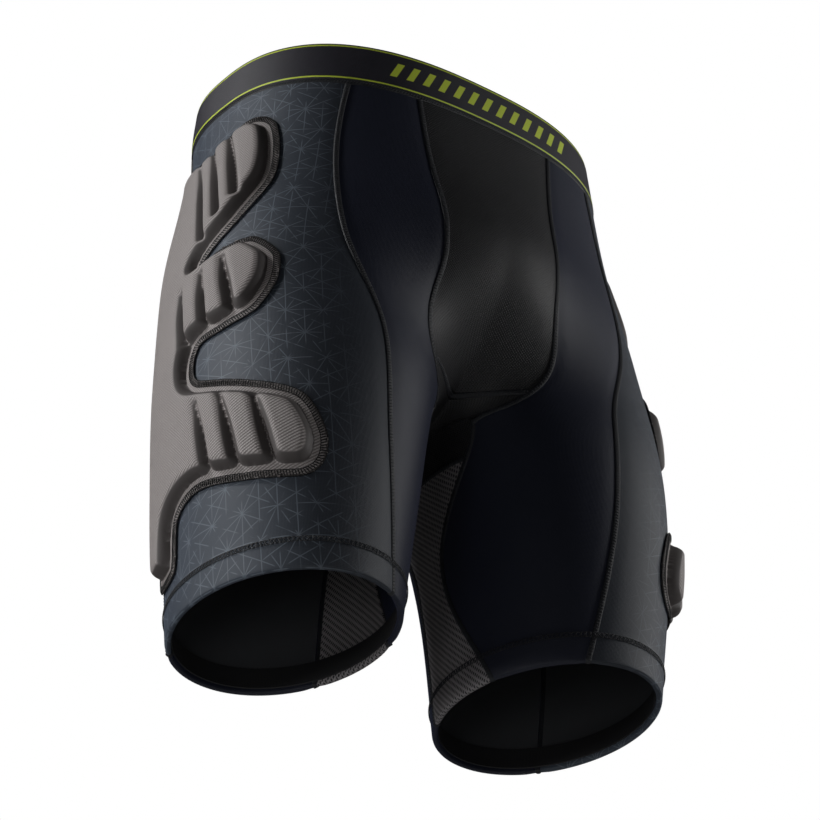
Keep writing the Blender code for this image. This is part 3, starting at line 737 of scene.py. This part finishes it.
def thread_piece(name, rows):
    """One piece made of several rows of stitches."""
    corners, faces = [], []
    for row_corners, row_faces in rows:
        faces += [tuple(corner + len(corners) for corner in face) for face in row_faces]
        corners += row_corners.tolist()
    mesh = bpy.data.meshes.new(name)
    mesh.from_pydata(corners, [], faces)
    threads = bpy.data.objects.new(name, mesh)
    bpy.context.scene.collection.objects.link(threads)
    return finish_mesh(threads, angle=70)


def sewn_line(name, shares, heights, closed=False, across=0.0030, lean=0.25):
    """A flatlock seam along a line on the worn shape: a low ridge with stitches across it."""
    line = cloth_line(*worn(shares, heights), closed)
    points, normals, _, side = line
    lengths = run_lengths(points)

    def place(column, row):
        offset = seam_profile[column]
        shown = points[row] + side[row] * (offset[:, :1] * SEAM_WIDTH)
        shown = shown + normals[row] * offset[:, 1:]
        return shown, np.stack([offset[:, 0] * SEAM_WIDTH, lengths[row]], 1)

    strip = grid_piece(name, len(seam_profile) - 1, len(points) - 1, place)
    strip.data.flip_normals()
    finish_mesh(strip, SEAM_THICKNESS)
    row = stitch_row(line, STITCH_PITCH, 1, lean, across, STITCH_RADIUS, lift=SEAM_PROUD * 0.9)
    threads = thread_piece(name + "_stitches", [row])
    threads.data.uv_layers.new(name="cloth")
    strip.select_set(True)
    bpy.context.view_layer.objects.active = strip
    bpy.ops.object.join()
    return strip


def up_line(seam, start, end):
    """Shares and heights up a seam between two heights."""
    heights = cloth_heights(start, end)
    return np.array([seam(float(round(max(h, FOLD), 5))) for h in heights]), heights


def cad_name(piece):
    """A piece is named after the CAD node that it stands for, with one word added."""
    return piece.name.rsplit("_", 1)[0]


def twisted_thread(cloth, patch_scale, first, second):
    """Finishes a thread's material, with its twist in relief and patches of two near colours."""
    material, tree, shader = cloth
    place = node(tree, "TexCoord").node.outputs["Object"]
    share = node(tree, "TexNoise", place, None, patch_scale, 2.0)
    into(tree, blend(tree, share, first, second), shader, "Base Color")
    bump(tree, shader, node(tree, "TexWave", place, 900.0, 1.5, 2.0), 0.00008, 0.6)
    return material


seam_thread = twisted_thread(
    new_cloth("matt_black_thread", 0.55, 0.06, (0.5, 0.5, 0.55)),
    160.0, (0.010, 0.011, 0.014), (0.024, 0.026, 0.032),
)
gusset_top = BACK_GUSSET_LEVELS[-1]
left_seams = [
    sewn_line(f"left_{name}_seam_thread", *up_line(seam, start, end))
    for name, seam, start, end in (
        ("inner_thigh", inner_seam, TURNED_EDGE, POUCH_FOOT),
        ("pouch", inner_seam, POUCH_FOOT, PANEL_TOP),
        ("front_side", front_seam, TURNED_EDGE, PANEL_TOP),
        ("side_back", back_seam, TURNED_EDGE, PANEL_TOP),
        ("inner_back", gusset_back, TURNED_EDGE, gusset_top),
    )
]
level = CROTCH_HEIGHT - GUSSET_DROP
shares = np.linspace(inner_back_line(level), beside(inner_seam, -1)(level), 40)
left_seams.append(sewn_line("left_gusset_leg_seam_thread", shares, np.full(40, level)))
for left in left_seams:
    for piece in (left, other_side(left)):
        dress(piece, cad_name(piece), "seam_thread", seam_thread)

edge = beside(inner_seam, -1)(POUCH_FOOT)
back_line = up_line(lambda level: 1.0, gusset_top + 0.0005, PANEL_TOP)
centre_seams = [
    sewn_line("pouch_gusset_seam_thread", np.linspace(-edge, edge, 40), np.full(40, POUCH_FOOT)),
    sewn_line("centre_back_seam_thread", *back_line),
]
for piece in centre_seams:
    dress(piece, cad_name(piece), "seam_thread", seam_thread)


# ------------------------------------------------------------------ leg hems
# The hem is turned up twenty millimetres and held by a cover stitch: a zigzag row on the outside.
# A smooth black facing covers the turned-up edge on the inside of the leg.

FACING = 0.0010
FACING_LIFT = -0.0034
FACING_TUCK = 0.0002
FACING_COLUMNS = 180
RING_WELD = 0.00002
facing_heights = np.array((0.0032, 0.0034, 0.0060, 0.0100, 0.0140, 0.0180, 0.0192, 0.0194))

facing_knit, tree, shader = new_cloth("black_hem_facing", 0.60, 0.04, (0.4, 0.4, 0.45))
knit = jersey(tree, shader, 0.0011)
black = patchy(tree, cloth_paper(tree), 40.0, (0.006, 0.006, 0.007), (0.012, 0.012, 0.014))
black = blend(tree, times(tree, knit, 0.4), black, (0.02, 0.02, 0.022))
into(tree, black, shader, "Base Color")


def facing_place(column, row):
    share, heights = column / FACING_COLUMNS, facing_heights[row]
    tucked = (row == 0) | (row == len(facing_heights) - 1)
    points, _ = worn(share, heights, FACING_LIFT - FACING_TUCK * tucked)
    return points, np.stack([share * girth(0.01), heights], 1)


facing = grid_piece(
    "left_leg_hem_facing_cloth", FACING_COLUMNS, len(facing_heights) - 1, facing_place
)
weld(facing, RING_WELD)
finish_mesh(facing, FACING)
for piece, side in both_sides(facing):
    dress(piece, cad_name(piece), "hem_facing", facing_knit)

COVER_ROW = 0.0032
around_leg = worn(np.linspace(0, 1, 400), HEM_HEIGHT - COVER_ROW / 2)
hem_line = cloth_line(*around_leg, closed=True)
slants = [
    stitch_row(hem_line, 0.0030, 1, lean, 0.0038, 0.00034, lift=0.0009) for lean in (0.75, -0.75)
]
rails = [
    stitch_row(hem_line, 0.0026, 0, 1, 0.0025, 0.00030, lift=0.0007, shift=rise)
    for rise in (-COVER_ROW / 2, COVER_ROW / 2)
]
cover = thread_piece("left_hem_cover_stitch_thread", slants + rails)
for piece in (cover, other_side(cover)):
    dress(piece, cad_name(piece), "seam_thread", seam_thread)


# ------------------------------------------------------------------ waistband
# A woven elastic thirty-six millimetres deep goes round the waist in one loop. It is black with a
# slanting weave, has a thin lime stripe along each edge, and a plain row of slanted lime bars in
# front and behind. A narrow black seam joins its lower edge to the panels.

ELASTIC = 0.0022
STRIPE = 0.0013
LOWER_STRIPE = BAND_BOTTOM + 0.0016
UPPER_STRIPE = WAIST_HEIGHT - 0.0026
BAR_PITCH = 0.0125
BAR_HALF_HEIGHT = 0.0070
BAR_SLANT = -0.45
BARS_HALF_WIDTH = 6.5 * BAR_PITCH
BAND_COLUMNS = 480

elastic_weave, tree, shader = new_cloth("striped_woven_elastic", 0.50, 0.12, (0.55, 0.50, 0.75))
paper = cloth_paper(tree)
run, height, _ = node_outputs(tree, "SeparateXYZ", paper)
slanting = cloth_paper(tree, math.radians(32))
twill = node(tree, "TexWave", slanting, 380.0, 0.6, 2.0, bands_direction="X")
picks = node(tree, "TexWave", paper, 260.0, 0.4, 1.0, bands_direction="Y")
weave = times(tree, math_node(tree, "ADD", twill, picks), 0.5)
black = patchy(tree, paper, 60.0, (0.010, 0.010, 0.013), (0.020, 0.019, 0.026), roughness=0.6)
black = blend(tree, times(tree, weave, 0.55), black, (0.046, 0.043, 0.058))
stripes = None
for middle in (LOWER_STRIPE, UPPER_STRIPE):
    away = math_node(tree, "ABSOLUTE", math_node(tree, "SUBTRACT", height, middle))
    stripe = ramp(tree, away, STRIPE / 2 - 0.0001, STRIPE / 2 + 0.0002, 1.0, 0.0)
    stripes = greater(tree, stripes, stripe)
middle = (BAND_BOTTOM + WAIST_HEIGHT) / 2
from_middle = math_node(tree, "SUBTRACT", height, middle)
slanted = math_node(tree, "ADD", run, times(tree, from_middle, BAR_SLANT))
bar = math_node(tree, "PINGPONG", slanted, BAR_PITCH / 2)
bar = ramp(tree, bar, BAR_PITCH * 0.20, BAR_PITCH * 0.22, 1.0, 0.0)
off_middle = math_node(tree, "ABSOLUTE", from_middle)
ends = ramp(tree, off_middle, BAR_HALF_HEIGHT - 0.0002, BAR_HALF_HEIGHT + 0.0001, 1.0, 0.0)
bar = times(tree, bar, ends)
half_round = BAR_PITCH * round(girth(WAIST_HEIGHT - BAND_HEIGHT / 2) / BAR_PITCH)
in_front = math_node(tree, "ABSOLUTE", slanted)
behind = math_node(tree, "ABSOLUTE", math_node(tree, "SUBTRACT", half_round, in_front))
near = math_node(tree, "MINIMUM", in_front, behind)
bar = times(tree, bar, math_node(tree, "LESS_THAN", near, BARS_HALF_WIDTH))
lime = greater(tree, stripes, bar)
lime_thread = blend(tree, weave, (0.52, 0.68, 0.03), (0.84, 0.96, 0.10))
into(tree, blend(tree, lime, black, lime_thread), shader, "Base Color")
bump(tree, shader, weave, 0.00022, 0.8)

band_profile = np.array([
    (-0.0002, -0.0010), (0.0, 0.0002), (0.0006, 0.0008), (0.0030, 0.0010), (0.0075, 0.0009),
    (0.0120, 0.0009), (0.0180, 0.0009), (0.0240, 0.0009), (0.0295, 0.0009), (0.0330, 0.0010),
    (0.0353, 0.0008), (0.0360, 0.0001), (0.0361, -0.0010),
])


def band_place(column, row):
    share = 2 * column / BAND_COLUMNS - 1
    rise, lift = band_profile[row].T
    points, _ = worn(share, np.minimum(BAND_BOTTOM + rise, WAIST_HEIGHT), lift)
    return points, np.stack([share * half_round, BAND_BOTTOM + rise], 1)


band = grid_piece(
    "waistband_elastic_band", BAND_COLUMNS, len(band_profile) - 1, band_place
)
weld(band, RING_WELD)
finish_mesh(band, ELASTIC)
dress(band, "waistband_elastic", "waist_elastic", elastic_weave)

around, level = np.linspace(-1, 1, 600), np.full(600, BAND_BOTTOM - SEAM_WIDTH / 2)
waist_seam = sewn_line("waist_seam_thread", around, level, closed=True, across=0.0026, lean=0.9)
dress(waist_seam, "waist_seam", "seam_thread", seam_thread)


# ------------------------------------------------------------------ hip pads
# Over each hip a soft foam shape with three fingers that point forward is sealed in taupe twill.
# The foam is moulded into rounded bars with deep grooves between them; the twill lies flat round
# it as a flange, which a dense black overlock stitch holds down on the side panel.

PAD_LOW = 0.030
PAD_HIGH = BAND_BOTTOM - 0.032
PAD_LIFT = 0.0005
PAD_FLANGE = 0.0088
PAD_FLANGE_THICKNESS = 0.0011
PAD_HEIGHT = 0.0096
PAD_SHOULDER = 0.0070
PAD_PILLOW = 0.62  # the lower, the fuller the shoulder
PAD_SWELL = 0.10
PAD_TWILL = 0.0009
PAD_CELL = 0.00105
FOAM_CELL = 0.0016
FOAM_MARGIN = 0.0034
FOAM_CLEARANCE = 0.0008
FOAM_THICKNESS = 0.0030
GROOVE_DEPTH = 0.0075
GROOVE_REACH = 0.0082
GROOVE_SHARPNESS = 2.3
pad_outline = np.array([
    (-0.060, 0.94), (-0.042, 0.99), (0.000, 0.97), (0.043, 1.00), (0.064, 0.97), (0.071, 0.87),
    (0.068, 0.79), (0.046, 0.70), (0.0156, 0.635), (0.041, 0.640), (0.064, 0.640), (0.082, 0.585),
    (0.0804, 0.51), (0.0656, 0.445), (0.041, 0.425), (0.0168, 0.418), (0.0096, 0.375),
    (0.0168, 0.335), (0.0583, 0.285), (0.0933, 0.24), (0.106, 0.165), (0.1039, 0.11),
    (0.0901, 0.082), (0.053, 0.092), (0.012, 0.113), (-0.0132, 0.09), (-0.0198, 0.0),
    (-0.057, 0.02), (-0.063, 0.2), (-0.060, 0.55),
])
pad_outline[:, 1] = PAD_LOW + pad_outline[:, 1] * (PAD_HIGH - PAD_LOW)
grooves = np.array([  # each from its upper end to its lower end: reach and height
    (-0.0080, 0.3760, 0.0175, 0.2880), (0.0105, 0.3830, 0.0310, 0.3040),
    (0.0290, 0.3880, 0.0450, 0.3180), (0.0020, 0.2400, 0.0060, 0.1930),
    (0.0250, 0.2460, 0.0280, 0.1960), (0.0445, 0.2500, 0.0500, 0.2020),
    (0.0190, 0.1320, 0.0275, 0.0800), (0.0405, 0.1290, 0.0505, 0.0720),
    (0.0640, 0.1230, 0.0745, 0.0680),
])


def round_off(corners, samples=24):
    """A closed smooth curve through a ring of corners."""
    before, after = np.roll(corners, 1, 0), np.roll(corners, -1, 0)
    slope = (after - before) * 0.42
    slope_next = np.roll(slope, -1, 0)
    t = np.linspace(0, 1, samples, endpoint=False)[None, :, None]
    start, end = corners[:, None], after[:, None]
    curve = start * (1 + 2 * t) * (1 - t) ** 2 + slope[:, None] * t * (1 - t) ** 2
    curve = curve + end * t * t * (3 - 2 * t) + slope_next[:, None] * t * t * (t - 1)
    return curve.reshape(-1, 2)


pad_edge = round_off(pad_outline)


def edge_distance(points):
    """How far inside the pad's edge each flat point is, and the nearest place on the edge."""
    ahead = np.roll(pad_edge, -1, 0) - pad_edge
    length = np.maximum((ahead ** 2).sum(1), 1e-12)
    best, nearest = np.full(len(points), 1e9), np.zeros((len(points), 2))
    inside = np.zeros(len(points), bool)
    for start, run, size in zip(pad_edge, ahead, length):
        part = np.clip(((points - start) @ run) / size, 0, 1)
        foot = start + part[:, None] * run
        away = ((points - foot) ** 2).sum(1)
        closer = away < best
        best = np.where(closer, away, best)
        nearest[closer] = foot[closer]
        end = start + run
        crosses = (start[1] > points[:, 1]) != (end[1] > points[:, 1])
        if crosses.any():
            rise = run[1] if abs(run[1]) > 1e-12 else 1e-12
            meets = start[0] + (points[:, 1] - start[1]) * run[0] / rise
            inside ^= crosses & (points[:, 0] < meets)
    return np.where(inside, 1, -1) * np.sqrt(best), nearest


def pad_heights(points, from_edge):
    """The height of the twill over the side panel at flat points."""
    part = np.clip((from_edge - PAD_FLANGE) / PAD_SHOULDER, 0, 1)
    pillow = (1 - (1 - part) ** 2) ** PAD_PILLOW
    cut = np.zeros(len(points))
    for x0, y0, x1, y1 in grooves:
        run = np.array((x1 - x0, y1 - y0))
        part_way = ((points - (x0, y0)) @ run) / (run @ run)
        foot = np.array((x0, y0)) + np.clip(part_way, 0, 1)[:, None] * run
        away = np.linalg.norm(points - foot, axis=1)
        depth = 0.55 + 0.45 * smooth(part_way * 1.6)
        near = np.clip(1 - away / GROOVE_REACH, 0, 1) ** GROOVE_SHARPNESS
        cut = np.maximum(cut, depth * near)
    swell = 1.0 + PAD_SWELL * np.sin(points[:, 1] * 34.0 + 0.7) * np.cos(points[:, 0] * 41.0)
    raised = pillow * (PAD_HEIGHT - PAD_FLANGE_THICKNESS) * swell
    raised = raised - np.minimum(cut * GROOVE_DEPTH, raised * 0.93)
    return PAD_FLANGE_THICKNESS + raised


def on_hip(points, heights):
    """Lays flat pad points on the side panel: reach forward of the side line, and level."""
    levels = np.round(points[:, 1], 4)
    around = np.array([girth(float(level)) for level in levels])
    return worn(0.5 - points[:, 0] / around, levels, PAD_LIFT + heights)


def pad_sheet(name, margin, drop, cell):
    """The flat pad, cut along its edge less a margin, with its moulded relief less a drop. A point
    attribute says how level each spot lies on the hip: 1 on a flat, less on a slope; the twill's
    material paints shade with it on the slopes, in the grooves and round the shoulder."""
    low, high = pad_edge.min(0) - cell, pad_edge.max(0) + cell
    columns, rows = (int(round(size / cell)) for size in high - low)
    flat = {}

    def place(column, row):
        spots = low + np.stack([column * cell, row * cell], 1)
        from_edge, nearest = edge_distance(spots)
        if margin == 0:
            close = (from_edge < cell * 0.75) & (from_edge > -cell * 0.75)
            spots[close] = nearest[close]
            flat["keep"] = (from_edge > -cell * 0.75)
            from_edge = np.where(close, 0.0, from_edge)
        else:
            flat["keep"] = from_edge > margin
        heights = pad_heights(spots, from_edge) - drop
        spots = np.where(flat["keep"][:, None], spots, (0.0, 0.2))
        points, flat["outward"] = on_hip(spots, heights)
        return points, spots

    piece = grid_piece(name, columns, rows, place)
    faced = np.empty(len(piece.data.vertices) * 3)
    piece.data.vertex_normals.foreach_get("vector", faced)
    levelness_for_shade = np.abs((faced.reshape(-1, 3) * flat["outward"]).sum(1))
    evenness = piece.data.attributes.new("evenness", "FLOAT", "POINT")
    evenness.data.foreach_set("value", levelness_for_shade)
    bpy.ops.object.mode_set(mode="EDIT")
    bpy.ops.mesh.select_all(action="DESELECT")
    bpy.ops.object.mode_set(mode="OBJECT")
    for vertex, kept in zip(piece.data.vertices, flat["keep"]):
        vertex.select = not kept
    bpy.ops.object.mode_set(mode="EDIT")
    bpy.ops.mesh.delete(type="VERT")
    bpy.ops.object.mode_set(mode="OBJECT")
    piece.data.flip_normals()
    return piece


twill_cloth, tree, shader = new_cloth("taupe_pad_twill", 0.62, 0.10, (0.80, 0.74, 0.70))
paper = cloth_paper(tree)
ribs, picks = cloth_paper(tree, math.radians(62)), cloth_paper(tree, math.radians(-40))
rib = node(tree, "TexWave", ribs, 168.0, 0.5, 2.0, 6.0, bands_direction="X")
cross = node(tree, "TexWave", picks, 190.0, 0.4, 1.0, bands_direction="X")
weave = times(tree, rib, math_node(tree, "ADD", times(tree, cross, 0.35), 0.65))
# painted shade: how level the twill lies on the hip flattens its weave and darkens it on steep
# slopes, in the grooves and down the shoulders, where shade falls
even = node(tree, "Attribute", attribute_name="evenness").node.outputs["Fac"]
even = ramp(tree, even, 0.72, 0.96)
weave = math_node(tree, "MULTIPLY_ADD", math_node(tree, "SUBTRACT", weave, 0.35), even, 0.35)
taupe = patchy(tree, paper, 34.0, (0.150, 0.132, 0.128), (0.225, 0.200, 0.194), 4.0, 0.6)
taupe = blend(tree, times(tree, weave, 0.85), taupe, (0.60, 0.555, 0.545))
# painted shade: the taupe is blended to dark brown where the twill slopes steeply
taupe = blend(tree, ramp(tree, even, 0.0, 0.8), (0.085, 0.075, 0.073), taupe)
into(tree, taupe, shader, "Base Color")
bump(tree, shader, weave, 0.00030, 0.9)

foam_black, tree, shader = new_cloth("grey_closed_cell_foam", 0.85, 0.0, (1.0, 1.0, 1.0))
cells = node(tree, "TexVoronoi", node(tree, "TexCoord").node.outputs["Object"], None, 900.0)
into(tree, blend(tree, cells, (0.030, 0.030, 0.033), (0.075, 0.075, 0.080)), shader, "Base Color")
bump(tree, shader, cells, 0.0002)

cover = pad_sheet("left_hip_pad_cover_twill", 0.0, 0.0, PAD_CELL)
finish_mesh(cover, PAD_TWILL)
for piece in (cover, other_side(cover)):
    dress(piece, cad_name(piece), "pad_twill", twill_cloth)

foam = pad_sheet(
    "left_hip_pad_foam_core", PAD_FLANGE + FOAM_MARGIN, PAD_TWILL + FOAM_CLEARANCE, FOAM_CELL
)
finish_mesh(foam, FOAM_THICKNESS)
for piece in (foam, other_side(foam)):
    dress(piece, cad_name(piece), "pad_foam", foam_black)

EDGE_STITCH_PITCH = 0.0019
EDGE_STITCH_LENGTH = 0.0042
ahead = unit(np.roll(pad_edge, -1, 0) - np.roll(pad_edge, 1, 0))
inward = np.stack([ahead[:, 1], -ahead[:, 0]], 1)
ring, inward = (np.vstack([values, values[:1]]) for values in (pad_edge, inward))
if edge_distance(ring[:50] + inward[:50] * 0.002)[0].mean() < 0:
    inward = -inward
on_flange = np.full(len(ring), PAD_FLANGE_THICKNESS + 0.0001)
outer, _ = on_hip(ring, on_flange)
middle, normals = on_hip(ring + inward * EDGE_STITCH_LENGTH * 0.50, on_flange)
pad_line = (*cloth_line(middle, normals, closed=True)[:3], unit(middle - outer))
edge_stitch = thread_piece("left_pad_edge_stitch_thread", [
    stitch_row(pad_line, EDGE_STITCH_PITCH, 1, 0.30, EDGE_STITCH_LENGTH, 0.00040, lift=0.0002),
    stitch_row(pad_line, 0.0017, 0, 1, 0.0022, 0.00042, lift=-0.0005, shift=-0.0024),
    stitch_row(pad_line, EDGE_STITCH_PITCH, 0, 1, 0.0022, 0.00030, lift=0.0002, shift=0.0021),
])
overlock_thread = twisted_thread(
    new_cloth("black_overlock_thread", 0.62, 0.02, (0.5, 0.5, 0.5), 0.30),
    200.0, (0.004, 0.004, 0.004), (0.014, 0.014, 0.015),
)
for piece in (edge_stitch, other_side(edge_stitch)):
    dress(piece, cad_name(piece), "seam_thread", overlock_thread)


# ------------------------------------------------------------------ floor, light and camera
# The camera looks up at the shorts from in front and from the wearer's right, so the plain pale
# floor lies a good way under them. A small key light stands high on the left with two low ones
# below it, and two tall soft boxes light the right. Floor and backdrop glow for the camera alone.

FLOOR_DROP = 1.15
bpy.ops.object.select_all(action="DESELECT")
bpy.ops.mesh.primitive_circle_add(
    vertices=96, radius=9.0, fill_type="NGON", location=(0, 0, -FLOOR_DROP)
)
floor = bpy.context.object
floor.name = "studio_floor"
pale = bpy.data.materials.new("pale_floor")
pale.use_nodes = True
tree = pale.node_tree
shader = tree.nodes["Principled BSDF"]
shader.inputs["Base Color"].default_value = (0.82, 0.82, 0.82, 1.0)
shader.inputs["Roughness"].default_value = 0.9
shader.inputs["Emission Color"].default_value = (1.0, 1.0, 1.0, 1.0)
seen = node(tree, "LightPath").node.outputs["Is Camera Ray"]
into(tree, times(tree, seen, 0.72), shader, "Emission Strength")
floor.data.materials.append(pale)

world = bpy.data.worlds.new("studio")
bpy.context.scene.world = world
world.use_nodes = True
tree = world.node_tree
seen = node(tree, "LightPath").node.outputs["Is Camera Ray"]
backdrop = tree.nodes["Background"]
backdrop.inputs["Color"].default_value = (1.0, 1.0, 1.0, 1.0)
into(tree, math_node(tree, "ADD", times(tree, seen, 0.991), 0.009), backdrop, "Strength")

YAW = math.radians(34.715)
LIGHT_AIM = Vector((0.0, 0.0, 0.235))
to_right = Vector((math.cos(YAW), -math.sin(YAW), 0.0))
to_front = Vector((-math.sin(YAW), -math.cos(YAW), 0.0))


def soft_box(name, right, front, up, width, height, power):
    """A rectangular soft box, placed in metres to the camera's right, front and up of the aim."""
    light = bpy.data.lights.new(name, "AREA")
    light.shape, light.size, light.size_y, light.energy = "RECTANGLE", width, height, power
    lamp = bpy.data.objects.new(name, light)
    bpy.context.scene.collection.objects.link(lamp)
    lamp.location = LIGHT_AIM + to_right * right + to_front * front + Vector((0, 0, up))
    lamp.rotation_mode = "QUATERNION"
    lamp.rotation_quaternion = (LIGHT_AIM - lamp.location).to_track_quat("-Z", "Y")


soft_box("left_front", -1.60, 0.60, 0.15, 0.6, 1.2, 1.8)
soft_box("left_key", -1.20, 0.35, 0.85, 0.28, 0.28, 8.0)
soft_box("left_low", -0.95, 0.30, -0.20, 0.3, 0.3, 2.5)
soft_box("low_front", -0.25, 0.95, -0.60, 0.25, 0.25, 0.8)
soft_box("right_back", 1.50, -0.85, 0.45, 0.4, 1.2, 4.2)
soft_box("right_side", 1.75, 0.15, 0.30, 0.4, 1.1, 10.5)

scene = bpy.context.scene
scene.view_settings.view_transform = "Standard"
ELEVATION = math.radians(-34.109)
CAMERA_DISTANCE = 1.7152
camera_aim = Vector((0.0, -CENTRE_Y, 0.22))
back = to_front * math.cos(ELEVATION) + Vector((0, 0, math.sin(ELEVATION)))
lens = bpy.data.cameras.new("studio_camera")
lens.lens, lens.sensor_width = 105.6, 36.0
lens.shift_x, lens.shift_y = 0.02166, 0.01383
camera = bpy.data.objects.new("studio_camera", lens)
scene.collection.objects.link(camera)
camera.location = camera_aim + back * CAMERA_DISTANCE
camera.rotation_mode = "QUATERNION"
camera.rotation_quaternion = back.to_track_quat("Z", "Y")
scene.camera = camera
